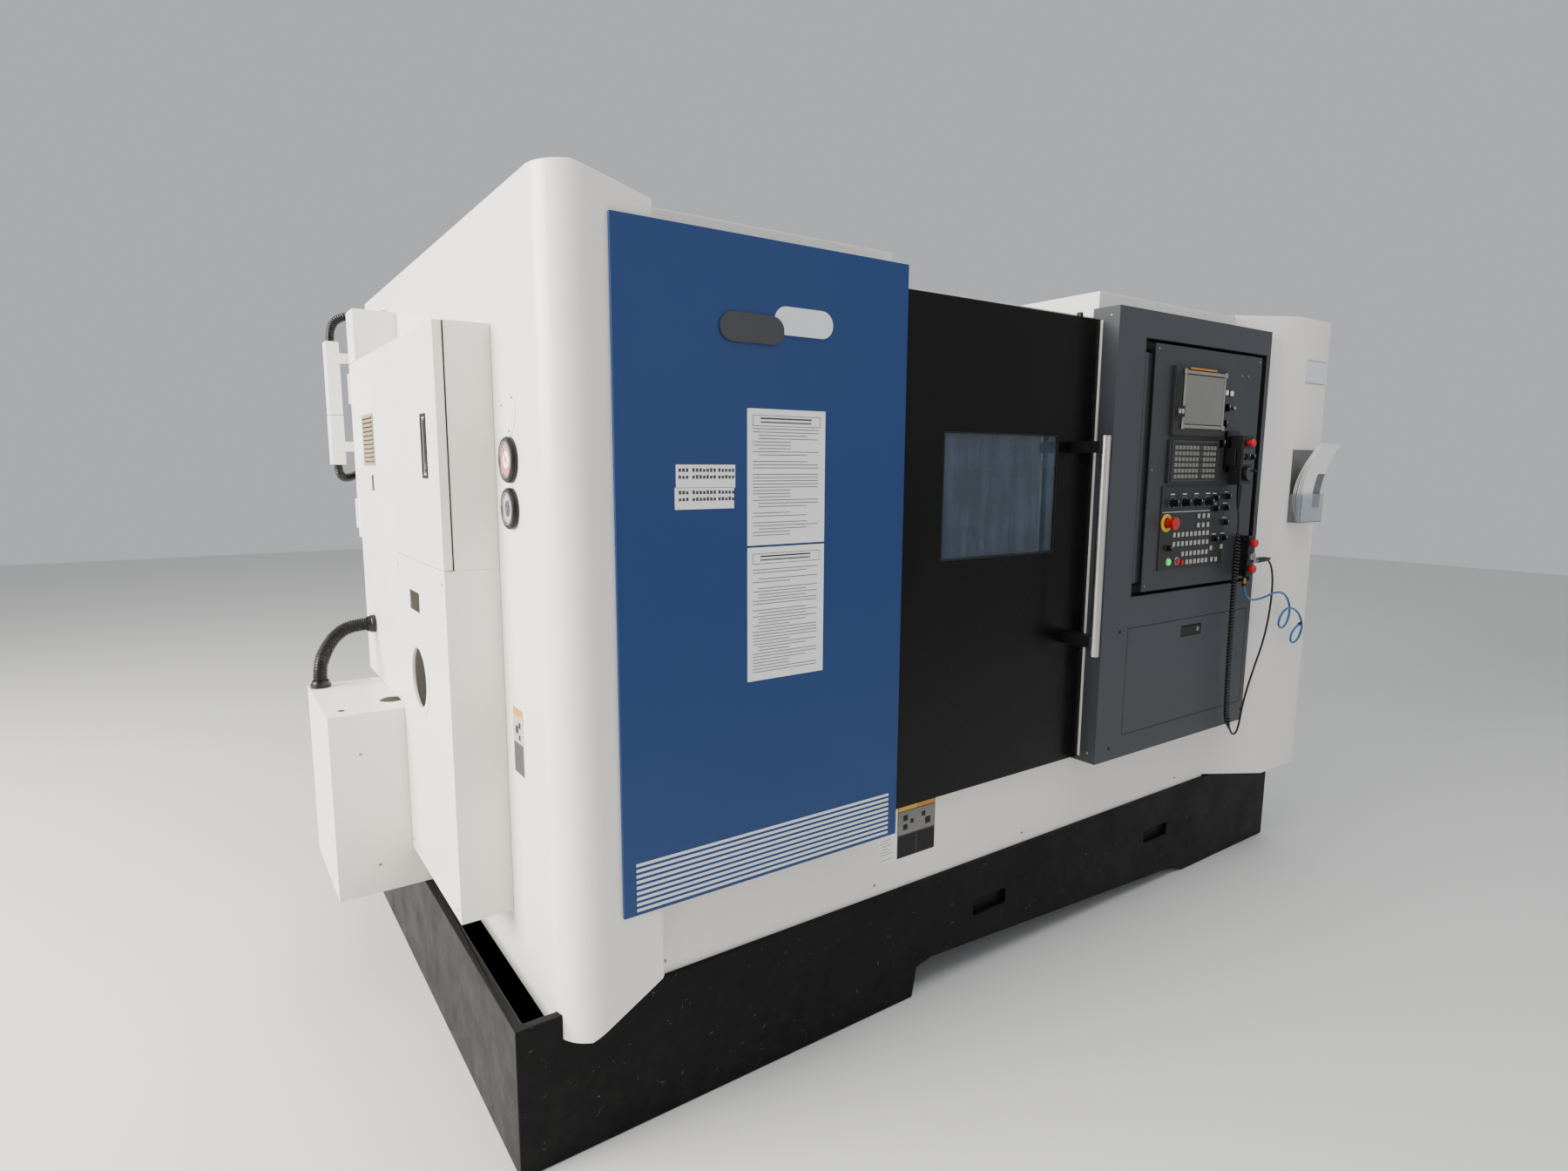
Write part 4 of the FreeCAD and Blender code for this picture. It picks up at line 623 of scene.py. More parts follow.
def settle(item: bpy.types.Object, body: str, skin: Skin,
           *stands_for: str) -> bpy.types.Object:
    """Shade a new object, link it, and have it ride on its body."""
    if item.name not in bpy.context.scene.collection.objects:
        bpy.context.scene.collection.objects.link(item)
    if not len(item.data.materials):
        item.data.materials.append(skin.material)
    item.data.set_sharp_from_angle(angle=SMOOTH_BELOW)
    weigh = item.modifiers.new("even_shading", "WEIGHTED_NORMAL")
    weigh.keep_sharp = True
    flattened(item)
    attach(item, body)
    if stands_for:
        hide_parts(*stands_for)
    log.info("piece %s rides on %s, %d faces", item.name, body, len(item.data.polygons))
    return item


def flattened(item: bpy.types.Object) -> bpy.types.Object:
    """Turn an object's modifiers into plain mesh."""
    bpy.context.view_layer.update()
    seen = item.evaluated_get(bpy.context.evaluated_depsgraph_get())
    data = bpy.data.meshes.new_from_object(seen, preserve_all_data_layers=True,
                                           depsgraph=bpy.context.evaluated_depsgraph_get())
    item.modifiers.clear()
    item.data = data
    data.name = item.name
    return item


class Sheets:
    """CAD sheet-metal and castings, copied with softened edges and a finish."""

    def __init__(self, frame: dict) -> None:
        """Keep the loaded frame and find the body of each node."""
        self.nodes = frame["nodes"]
        groups = frame["record"]["behaviour"]["bodies"]
        self.body_of = {node: body for body, members in groups.items() for node in members}

    def dress(self, node: str, skin: Skin) -> None:
        """Give a CAD node its material as it stands."""
        data = self.nodes[node].data
        data.materials.clear()
        data.materials.append(skin.material)

    def soften(self, node: str, skin: Skin, width: float = 1.2,
               segments: int = 2) -> bpy.types.Object:
        """Copy a node with rounded edges to stand for it.

        Args:
            node: The CAD node.
            skin: Its finish.
            width: Rounding of the sharp edges in millimetres.
            segments: Steps across a rounded edge.

        Returns:
            The new object.
        """
        part = bmesh.new()
        part.from_mesh(self.nodes[node].data)
        bmesh.ops.remove_doubles(part, verts=part.verts[:], dist=WELD_WITHIN)
        bmesh.ops.dissolve_limit(part, angle_limit=FLAT_BELOW, verts=part.verts[:],
                                 edges=part.edges[:])
        for face in part.faces:
            face.smooth = True
            face.material_index = 0
        data = bpy.data.meshes.new(f"{node}_dressed")
        part.to_mesh(data)
        part.free()
        data.materials.clear()
        data.materials.append(skin.material)
        item = linked(bpy.data.objects.new(f"{node}_dressed", data))
        bevel = item.modifiers.new("edge", "BEVEL")
        bevel.width = width * MM
        bevel.segments = segments
        bevel.limit_method = "ANGLE"
        bevel.angle_limit = SMOOTH_BELOW
        bevel.use_clamp_overlap = False
        bevel.miter_outer = "MITER_ARC"
        flattened(item)
        return settle(item, self.body_of[node], skin, node)


# ------------------------------------------------------------------ repeats


@dataclass
class Repeat:
    """A geometry tree that puts copies of one item at many points.

    Its inputs are the item, the turn that each copy takes and the finish. The copies
    are realised, so that the result is a plain mesh.
    """

    name: str
    body: str
    skin: Skin
    spots: list[Point]
    facing: Facing = Facing.FRONT

    def tree(self) -> bpy.types.NodeTree:
        """Build the tree once for all uses."""
        found = bpy.data.node_groups.get("repeat_at_points")
        if found:
            return found
        tree, given = start_group("repeat_at_points", "Copies", Points="Geometry",
                                  Item="Object", Turn="Vector", Finish="Material")
        item = add(tree, "GeometryNodeObjectInfo", {"Object": given["Item"]})
        turn = add(tree, "FunctionNodeEulerToRotation", {"Euler": given["Turn"]})
        copies = add(tree, "GeometryNodeInstanceOnPoints", {
            "Points": given["Points"], "Instance": item.outputs["Geometry"],
            "Rotation": turn.outputs["Rotation"]})
        real = add(tree, "GeometryNodeRealizeInstances", {
            "Geometry": copies.outputs["Instances"]})
        end_group(tree, real.outputs["Geometry"], given["Finish"], "Copies")
        return tree

    def made(self, item: Piece) -> bpy.types.Object:
        """Run the tree over the points.

        Args:
            item: The form that is copied, built about the datum's own zero point with
                its front along +Z. It is used up.

        Returns:
            One plain mesh of all the copies.
        """
        form_data = bpy.data.meshes.new("form")
        item.mesh.to_mesh(form_data)
        item.mesh.free()
        form_data.transform(Matrix.Translation(-at(0, 0, 0)))
        form = linked(bpy.data.objects.new("form", form_data))
        data = bpy.data.meshes.new(self.name)
        data.from_pydata([at(*spot) for spot in self.spots], [], [])
        holder = linked(bpy.data.objects.new(self.name, data))
        run_group(holder, self.tree(), {"Item": form, "Turn": self.facing.value,
                                        "Finish": self.skin.material})
        flattened(holder)
        bpy.data.objects.remove(form)
        return settle(holder, self.body, self.skin)


def screw_head(radius: float = 4.0, rise: float = 2.4) -> Piece:
    """A button-head cap screw with its hexagon socket, pointing up."""
    socket = radius * 0.45
    return Piece("screw").turned(
        [(0, 0.0), (0, radius), (rise * 0.45, radius), (rise * 0.85, radius * 0.78),
         (rise, radius * 0.55), (rise, socket), (rise * 0.3, socket * 0.98),
         (rise * 0.3, 0.0)], Axis.Z, (0.0, 0.0), Skin.SCREW, steps=18)


def key_cap(width: float, tall: float, rise: float) -> Piece:
    """A moulded key with rounded top edges, pointing up."""
    return Piece("key").block((-width / 2, -tall / 2, 0), (width / 2, tall / 2, rise),
                              Skin.KEY, 1.0)


@dataclass
class Lines:
    """A geometry tree of evenly spaced parallel bars on an upright face.

    Its inputs are the number of bars, the step between them and the size of one.
    """

    name: str
    body: str
    skin: Skin
    first: Point
    size: Point
    step: float
    count: int

    def made(self) -> bpy.types.Object:
        """Build the tree and turn its bars into a plain mesh."""
        tree, given = start_group(self.name, "Bars", Count="Int", First="Vector",
                                  Step="Vector", Size="Vector", Finish="Material")
        line = add(tree, "GeometryNodeMeshLine", {
            "Count": given["Count"], "Start Location": given["First"],
            "Offset": given["Step"]})
        bar = add(tree, "GeometryNodeMeshCube", {"Size": given["Size"]})
        bars = add(tree, "GeometryNodeInstanceOnPoints", {
            "Points": line.outputs["Mesh"], "Instance": bar.outputs["Mesh"]})
        real = add(tree, "GeometryNodeRealizeInstances", {
            "Geometry": bars.outputs["Instances"]})
        end_group(tree, real.outputs["Geometry"], given["Finish"], "Bars")
        holder = linked(bpy.data.objects.new(self.name, bpy.data.meshes.new(self.name)))
        run_group(holder, tree, {
            "Count": self.count, "First": tuple(at(*self.first)),
            "Step": (0.0, 0.0, self.step * MM),
            "Size": tuple(side * MM for side in self.size), "Finish": self.skin.material})
        return settle(flattened(holder), self.body, self.skin)


# ------------------------------------------------------------------ cords


def spline_of(name: str, points: list[Point], width: float, steps: int = 6,
              sides: int = 3) -> bpy.types.Object:
    """A round cord on one smooth spline with the given control points.

    Args:
        name: The object's name.
        points: Control points from the datum.
        width: The cord's diameter in millimetres.
        steps: Divisions between two control points.
        sides: Divisions of a quarter turn of its section.

    Returns:
        The curve object, not yet linked.
    """
    data = bpy.data.curves.new(name, "CURVE")
    data.dimensions = "3D"
    data.bevel_depth = width / 2 * MM
    data.bevel_resolution = sides
    data.resolution_u = steps
    data.use_fill_caps = True
    spline = data.splines.new("NURBS")
    spline.points.add(len(points) - 1)
    for point, spot in zip(spline.points, points):
        point.co = (*at(*spot), 1.0)
    spline.order_u = 3
    spline.use_endpoint_u = True
    return bpy.data.objects.new(name, data)


def length_of(points: list[Vector]) -> float:
    """Length of a line through points."""
    return sum((b - a).length for a, b in zip(points, points[1:]))


def centre_line(points: list[Point]) -> list[Vector]:
    """The points of the smooth line that a cord with these control points follows."""
    bare = linked(spline_of("bare", points, 0.0))
    bpy.context.view_layer.update()
    data = bpy.data.meshes.new_from_object(bare)
    line = [v.co.copy() for v in data.vertices]
    bpy.data.meshes.remove(data)
    bpy.data.objects.remove(bare)
    return line


UPPER_LEAD = [
    (2231.5, -64, 1398), (2231.5, -64, 1370), (2241, -62, 1344), (2250.7, -60, 1318),
    (2251.3, -60, 1282),
]
COIL_ROUTE = [
    (2251.3, -60, 1282), (2254, -60, 1100), (2258, -60, 920), (2263, -60, 770),
    (2268, -60, 670), (2276, -60, 604), (2302, -60, 572),
]
LOWER_LEAD = [
    (2302, -60, 572), (2322, -60, 547.4), (2350, -60, 552), (2364, -60, 586),
    (2374, -60, 640), (2402, -60, 712), (2440, -60, 784), (2482, -60, 856),
    (2510, -60, 936), (2522, -60, 1016), (2522, -60, 1086), (2506, -60, 1140),
    (2474, -60, 1172), (2440, -60, 1172),
]
HOSE_ROUTE = [
    (2335, -52, 1106), (2335, -52, 1068), (2358, -56, 1038), (2402, -60, 1028),
    (2452, -72, 1038), (2504, -80, 1052), (2560, -81, 1046), (2608, -80, 1016),
    (2626, -81, 970), (2604, -83, 928), (2562, -84, 912), (2526, -88, 932),
    (2536, -92, 972), (2582, -93, 992), (2636, -92, 980), (2688, -90, 950),
    (2718, -88, 904), (2700, -86, 862), (2658, -86, 846), (2622, -90, 866),
    (2632, -94, 906), (2678, -96, 922),
]


@dataclass
class PendantCord:
    """The pendant's cord: straight, curled, then straight again to its socket."""

    body: str = "panel"
    lead: float = 7.0
    curl_radius: float = 7.4
    turns: int = 64
    steps: int = 12
    ease_in: int = 48

    def curl(self) -> list[Point]:
        """Control points of the curled part, wound round its route."""
        line = centre_line(COIL_ROUTE)
        whole = length_of(line)
        spots = []
        count = self.turns * self.steps
        done, index = 0.0, 0
        for step in range(count + 1):
            want = whole * step / count
            while index < len(line) - 2 and done + (line[index + 1] - line[index]).length < want:
                done += (line[index + 1] - line[index]).length
                index += 1
            run = line[index + 1] - line[index]
            centre = line[index] + run * ((want - done) / max(run.length, 1e-9))
            along = run.normalized()
            across = Vector((0.0, 1.0, 0.0))
            side = along.cross(across).normalized()
            ease = min(1.0, step / self.ease_in, (count - step) / self.ease_in)
            turn = 2 * math.pi * step / self.steps
            reach = self.curl_radius * MM * ease
            spot = centre + side * (reach * math.cos(turn)) + across * (reach * math.sin(turn))
            spots.append((spot.x / MM + DATUM_X, spot.y / MM + DATUM_Y, spot.z / MM))
        return spots

    def build(self) -> None:
        """Make the cord on one spline and its strain reliefs."""
        points = UPPER_LEAD[:-1] + self.curl() + LOWER_LEAD[1:]
        cord = linked(spline_of("pendant_cord", points, self.lead, steps=3, sides=2))
        cord.data.materials.append(Skin.RUBBER.material)
        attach(cord, self.body)
        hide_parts("pendant_lead", "pendant_coil")
        boot = Piece("pendant_cord_boot", self.body)
        boot.turned([(1402, 8.0), (1396, 7.6), (1384, 6.4), (1372, 5.2), (1356, 4.3),
                     (1356, 3.4), (1402, 3.4)], Axis.Z, (2231.5, -64), Skin.BLACK_PLASTIC)
        plug = Piece("pendant_cord_plug", self.body)
        plug.turned([(2436, 9.5), (2446, 9.5), (2447, 8.0), (2470, 6.6), (2486, 4.6),
                     (2486, 3.4), (2436, 3.4)], Axis.X, (-60, 1172), Skin.BLACK_PLASTIC,
                    bevel=0.4)
        pieces = [boot.made(), plug.made()]
        line = centre_line(points)
        log.info("pendant cord: %.2f m along its curls", length_of(line))


@dataclass
class AirHose:
    """The blue spiral hose on the air outlet, with its free end fitting."""

    body: str = "panel"
    width: float = 8.0

    def build(self) -> None:
        """Make the hose on its route, with a push-in collar and a stub end."""
        hose = linked(spline_of("air_hose_line", HOSE_ROUTE, self.width, steps=12, sides=4))
        hose.data.materials.append(Skin.HOSE.material)
        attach(hose, self.body)
        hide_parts("air_hose")
        collar = Piece("air_hose_collar", self.body)
        collar.turned([(1112, 7.0), (1100, 7.0), (1098, 6.2), (1092, 6.2), (1092, 4.1),
                       (1112, 4.1)], Axis.Z, (2335, -52), Skin.BRASS, bevel=0.3)
        collar.turned([(1092, 7.6), (1088, 8.2), (1085, 7.6), (1085, 4.1), (1092, 4.1)],
                      Axis.Z, (2335, -52), Skin.BLACK_PLASTIC)
        line = centre_line(HOSE_ROUTE)
        end, before = line[-1], line[-2]
        log.info("air hose: %.2f m", length_of(line))
        stub = self.stub(end, (end - before).normalized())
        collar.made()

    def stub(self, end: Vector, along: Vector) -> bpy.types.Object:
        """A short push-in joint on the hose's free end."""
        part = Piece("air_hose_end", self.body)
        part.turned([(-9, 0.0), (-9, 5.6), (4, 5.8), (5, 4.6), (9, 4.2), (9, 0.0)],
                    Axis.Z, (0.0, 0.0), Skin.BLACK_PLASTIC, steps=20)
        turn = Vector((0, 0, 1)).rotation_difference(along).to_matrix().to_4x4()
        move = Matrix.Translation(end) @ turn @ Matrix.Translation(-at(0, 0, 0))
        bmesh.ops.transform(part.mesh, matrix=move, verts=part.mesh.verts[:])
        return part.made()


# ------------------------------------------------------------------ sub-assemblies


@dataclass
class Assembly:
    """A group of pieces that is dressed and fitted out as one."""

    sheets: Sheets


@dataclass
class Print:
    """A printed sheet or plate whose lines are plain bars, with no lettering."""

    name: str
    low: tuple[float, float]
    high: tuple[float, float]
    face: float
    axis: Axis = Axis.Y
    thick: float = 0.4
    seed: int = 3
    row_step: float = 7.0
    row_tall: float = 1.8
    margin: float = 14.0
    paper: Skin = Skin.PAPER
    ink: Skin = Skin.INK

    def level(self, depth: float) -> float:
        """A level in front of the face that the print lies on."""
        return self.face - depth

    def bar(self, piece: Piece, a: float, b: float, c: float, d: float, skin: Skin,
            lift: float = 0.25) -> None:
        """One field of ink on the sheet."""
        near, far = self.level(self.thick + lift), self.level(self.thick)
        piece.block(self.axis.point(near, a, b), self.axis.point(far, c, d), skin)

    def build(self) -> bpy.types.Object:
        """Lay the sheet and its rows of bars."""
        (a, b), (c, d) = self.low, self.high
        piece = Piece(self.name)
        piece.block(self.axis.point(self.level(self.thick), a, b),
                    self.axis.point(self.level(0), c, d), self.paper)
        draw = random.Random(self.seed)
        head = d - self.margin * 2.6
        for edge in (d - self.margin, head):
            self.bar(piece, a + self.margin, edge - 0.7, c - self.margin, edge + 0.7, self.ink)
        for edge in (a + self.margin, c - self.margin):
            self.bar(piece, edge - 0.7, head, edge + 0.7, d - self.margin, self.ink)
        for share, tall in ((0.72, 0.25), (0.36, 0.2)):
            level = head + (d - self.margin - head) * share
            self.bar(piece, a + self.margin * 2.4, level - self.margin * tall / 2,
                     c - self.margin * 2.8, level + self.margin * tall / 2, Skin.SLATE)
        row = head - self.row_step
        while row > b + self.margin:
            indent = draw.choice((0, 0, 0.08))
            reach = draw.choice((0.55, 0.8, 0.97, 0.97, 0.97))
            if draw.random() > 0.12:
                span = c - a - 2 * self.margin
                self.bar(piece, a + self.margin + indent * span, row,
                         a + self.margin + reach * span, row + self.row_tall, self.ink)
            row -= self.row_step
        return piece.made()


class Enclosure(Assembly):
    """Sheet-metal covers with their trim, prints, plates and brochure holder."""

    stripe_count = 9
    stripe_step = 12.6
    stripe_size = (706.0, 0.5, 6.4)
    stripe_first = (382.5, -0.25, 559.0)

    def build(self) -> None:
        """Dress the covers and add what is fixed to them."""
        for node, width in (("left_fairing", 1.2), ("roof_cover", 1.5),
                            ("upper_right_cover", 2.0), ("right_end_cover", 2.5),
                            ("rear_wall", 1.2), ("front_wall", 1.2)):
            self.sheets.soften(node, Skin.WHITE, width)
        self.sheets.soften("front_panel", Skin.BLUE, 1.4)
        self.sheets.dress("door_guides", Skin.STEEL)
        self.front_trim()
        self.prints()
        self.right_cover()
        self.skirt_plates()
        self.rear_doors()
        self.screws()

    def front_trim(self) -> None:
        """Nine pale stripes and two blank trim plates on the blue panel."""
        Lines("panel_stripes", ROOT_BODY, Skin.STRIPE, self.stripe_first, self.stripe_size,
              self.stripe_step, self.stripe_count).made()
        plates = Piece("panel_trim_plates")
        for (a, b, c, d), depth, skin in (((238, 1752, 400, 1812), 5, Skin.SLATE),
                                          ((376, 1776, 534, 1836), 3.5, Skin.STRIPE)):
            radius = (d - b) / 2
            outline = []
            for middle, start in ((c - radius, -90), (a + radius, 90)):
                for step in range(13):
                    turn = math.radians(start + step * 15)
                    outline.append((middle + radius * math.cos(turn),
                                    (b + d) / 2 + radius * math.sin(turn)))
            plates.prism(outline, Axis.Y, -depth, -0.1, skin, bevel=0.8)
        plates.made()

    def prints(self) -> None:
        """Two notices and a parts label, with bars in place of words."""
        Print("notice_upper", (307, 1322), (517, 1617), 0.0, seed=11).build()
        Print("notice_lower", (307, 1017), (517, 1317), 0.0, seed=23).build()
        label = Print("parts_label", (131, 1405), (276, 1497), 0.0)
        piece = Piece("parts_label")
        for low, high, shift in ((1405, 1450, 0), (1449, 1497, 3)):
            piece.block((131 + shift, -0.4, low), (273 + shift, 0, high), Skin.PAPER)
        draw = random.Random(5)
        for row in (1482, 1468, 1436, 1422):
            for group, start in enumerate((140, 172, 234)):
                for number in range((3, 7, 5)[group]):
                    left = start + number * 8.4
                    tall = 6 + draw.random() * 2
                    label.bar(piece, left, row, left + 6, row + tall, Skin.SLATE)
        piece.made()

    def right_cover(self) -> None:
        """Blank nameplate, and a clear holder with blank catalogues."""
        plate = Piece("blank_nameplate")
        plate.block((2671, -45.5, 1798), (2815, -43, 1881), Skin.ALUMINIUM, 1.0)
        plate.block((2675, -46.1, 1802), (2811, -45.4, 1877), Skin.STRIPE)
        plate.made()
        holder = Piece("catalogue_holder")
        left, right = 2624.0, 2786.0
        holder.block((left, -46, 1296), (right, -43, 1560), Skin.ACRYLIC, 0.8)
        holder.block((left, -86, 1296), (right, -46, 1299), Skin.ACRYLIC, 0.8)
        holder.block((left, -89, 1296), (right, -86, 1400), Skin.ACRYLIC, 0.8)
        for side in (left, right - 3):
            holder.block((side, -86, 1299), (side + 3, -46, 1400), Skin.ACRYLIC, 0.8)
        holder.made()
        self.catalogues(left + 6, right - 6)

    def catalogues(self, left: float, right: float) -> None:
        """Blank catalogues that lean in the holder and bow forward at the top."""
        piece = Piece("blank_catalogues")
        steps, thick = 18, 2.2
        for number in range(6):
            lead = 9.0 * number
            foot, belly, tip = -76 - number * 1.4, -18 - lead, -122 - 2.6 * number
            low, middle, high = 1301.0, 1412.0 + 6 * number, 1566.0 + 3 * number
            front, back = [], []
            for step in range(steps + 1):
                t = step / steps
                y = (1 - t) ** 2 * foot + 2 * t * (1 - t) * belly + t * t * tip
                z = (1 - t) ** 2 * low + 2 * t * (1 - t) * middle + t * t * high
                front.append((max(-85.5, y) if z < 1402 else y, z))
                back.append((front[-1][0] + thick, z))
            shift = 4.0 * (number % 3)
            piece.prism(front + back[::-1], Axis.X, left + shift, right - 9 + shift, Skin.PAPER)
            if number == 5:
                print_low, print_high = left + 82 + shift, right - 12 + shift
                strip = [(y - 0.35, z) for y, z in front[3:12]]
                body = [(y - 0.05, z) for y, z in front[3:12]]
                piece.prism(strip + body[::-1], Axis.X, print_low, print_high, Skin.INK)
        piece.made()

    def skirt_plates(self) -> None:
        """Two information plates left of the door's foot, with plain fields."""
        plate = Piece("skirt_plate")
        face, near = 75.0, 74.2
        plate.block((840, near, 425), (981, face, 579), Skin.SLATE)
        plate.block((842, near - 0.3, 492), (979, near, 557), Skin.DULL_KEY)
        for x, z, half in ((868, 538, 8), (868, 512, 8), (893, 525, 6), (936, 536, 7),
                           (953, 514, 10)):
            plate.block((x - half, near - 0.5, z - half), (x + half, near - 0.3, z + half),
                        Skin.SHADOW)
        for a, b, c, d, skin in ((842, 560, 910, 577, Skin.YELLOW),
                                 (910, 560, 979, 577, Skin.AMBER),
                                 (842, 427, 909, 488, Skin.SHADOW),
                                 (912, 427, 979, 488, Skin.SHADOW)):
            plate.block((a, near - 0.3, b), (c, near, d), skin)
        plate.made()
        Print("skirt_notice", (772, 427), (835, 521), face, seed=31, margin=6,
              row_step=8, row_tall=1.4).build()
        side = Piece("side_plate")
        side.block((-125.8, 229, 812), (-125, 295, 964), Skin.KEY)
        for b, d, skin in ((946, 962, Skin.AMBER), (814, 884, Skin.SLATE)):
            side.block((-126.1, 231, b), (-125.7, 293, d), skin)
        for y, z, half in ((252, 926, 7), (270, 914, 9), (254, 898, 6)):
            side.block((-126.0, y - half, z - half), (-125.7, y + half, z + half), Skin.SHADOW)
        side.made()

    def rear_doors(self) -> None:
        """Electrical cabinet doors, isolator and louvres on the rear cover, with painted shade
        round the doors and under the louvres.
        """
        rear = REAR_FACE
        doors = Piece("rear_cabinet_doors")
        for low, high in ((1240, 1758), (1762, 2280)):
            doors.block((low, rear, 470), (high, rear + 12, 1860), Skin.WHITE, 2.0)
        doors.block((-100, 1756, 2004), (776, rear, 2014), Skin.WHITE, 1.0)
        doors.block((330, rear, 620), (930, rear + 3, 1500), Skin.WHITE, 1.0)
        doors.made()
        trim = Piece("rear_door_trim")
        # A black frame behind the door edges: painted shade in the gap round the doors.
        trim.frame((1234, 464), (2286, 1866), 8, Axis.Y, rear + 0.1, rear + 6, Skin.SHADOW)
        for x in (1720, 1800):
            trim.block((x - 12, rear + 11.8, 1060), (x + 12, rear + 15, 1210),
                       Skin.BLACK_PLASTIC, 1.5)
            trim.block((x - 6, rear + 15, 1080), (x + 6, rear + 21, 1190), Skin.SCREW, 2.0)
        for x in (1258, 2262):
            for z in (640, 1165, 1690):
                trim.rod(Axis.Z, (x - 24 if x < 1500 else x + 24, rear + 8), z - 30, z + 30,
                         6, Skin.BLACK_PLASTIC, bevel=0.6, steps=20)
        trim.turned([(rear + 11.8, 0.0), (rear + 11.8, 34), (rear + 15, 34),
                     (rear + 17, 22), (rear + 17, 0.0)], Axis.Y, (2120, 1500),
                    Skin.YELLOW, bevel=0.5, steps=40)
        trim.block((2111, rear + 17, 1472), (2129, rear + 34, 1528), Skin.RED, 3.0)
        for x in (1400, 1980):
            for row in range(12):
                low = 560 + row * 17
                trim.prism([(rear + 11.8, low), (rear + 11.8, low + 9), (rear + 17, low + 2),
                            (rear + 17, low)], Axis.X, x, x + 190, Skin.WHITE)
                # A black strip under each louvre: painted shadow.
                trim.block((x + 4, rear + 11.9, low - 4.5), (x + 186, rear + 12.3, low - 1),
                           Skin.SHADOW)
        trim.made()

    def screws(self) -> None:
        """Button-head screws that hold the covers."""
        skirt = [(x, 75, 372) for x in (130, 760, 1360, 2200)]
        Repeat("skirt_screws", ROOT_BODY, Skin.SCREW, skirt).made(screw_head())
        rear = [(x, REAR_FACE, z)
                for x in (-95, 300, 737, 817, 1200, 1572, 1652, 2200, 2800)
                for z in (375, 1170, 1968)]
        Repeat("rear_screws", ROOT_BODY, Skin.SCREW, rear, Facing.REAR).made(screw_head())
        roof = [(x, y, 2012) for x in (-80, 330, 740) for y in (110, 940, 1750)]
        roof += [(x, y, 2018) for x in (1650, 2350) for y in (120, 940, 1740)]
        roof += [(x, y, 2024) for x in (2430, 2800) for y in (140, 940, 1740)]
        Repeat("roof_screws", ROOT_BODY, Skin.SCREW, roof, Facing.UP).made(screw_head())
        right = [(2835, y, z) for y in (-10, 860, 1740) for z in (380, 1180, 1985)]
        Repeat("right_screws", ROOT_BODY, Skin.SCREW, right, Facing.RIGHT).made(screw_head())


class Base(Assembly):
    """Welded base with the coolant tank, and the machine inside the covers."""

    castings = ("bed_casting", "headstock", "saddle", "cross_slide", "turret_body",
                "tailstock")
    steels = ("spindle", "chuck_clamp_cylinder", "chuck_body", "chuck_jaw_1",
              "chuck_jaw_2", "chuck_jaw_3", "z_ball_screw", "turret_disc",
              "tool_holders", "tailstock_quill", "live_centre")

    def build(self) -> None:
        """Dress the base, the castings and the turned parts."""
        self.sheets.soften("base_tank", Skin.BASE, 3.0, segments=3)
        for node in self.castings:
            self.sheets.dress(node, Skin.IRON)
        for node in self.steels:
            self.sheets.dress(node, Skin.STEEL)
        for node in ("spindle_motor", "z_axis_motor"):
            self.sheets.dress(node, Skin.BLACK_PLASTIC)


class SlidingDoor(Assembly):
    """Black sliding door with its window, gasket and pull bar."""

    body = "door"
    window = (945.0, 1243.0, 1414.0, 1587.0)

    def build(self) -> None:
        """Dress the door and add its small parts."""
        self.sheets.soften("main_door", Skin.BLACK, 1.0)
        self.sheets.dress("door_window", Skin.GLASS)
        self.sheets.soften("door_handle", Skin.ALUMINIUM, 1.5)
        self.sheets.soften("handle_brackets", Skin.BLACK_PLASTIC, 2.0, 3)
        a, b, c, d = self.window
        Piece("window_gasket", self.body).frame(
            (a, b), (c, d), 5.0, Axis.Y, 48.2, 52.8, Skin.SHADOW, 0.6).made()
        Piece("door_catch", self.body).block(
            (1486, 50, 1927), (1500, 64, 1941), Skin.BLACK_PLASTIC, 2.0).made()
        caps = Piece("handle_caps", self.body)
        for low, high in ((936.0, 938.2), (1584.8, 1587.0)):
            caps.rod(Axis.Z, (1490, -55), low, high, 13.4, Skin.BLACK_PLASTIC, bevel=0.6)
        caps.made()


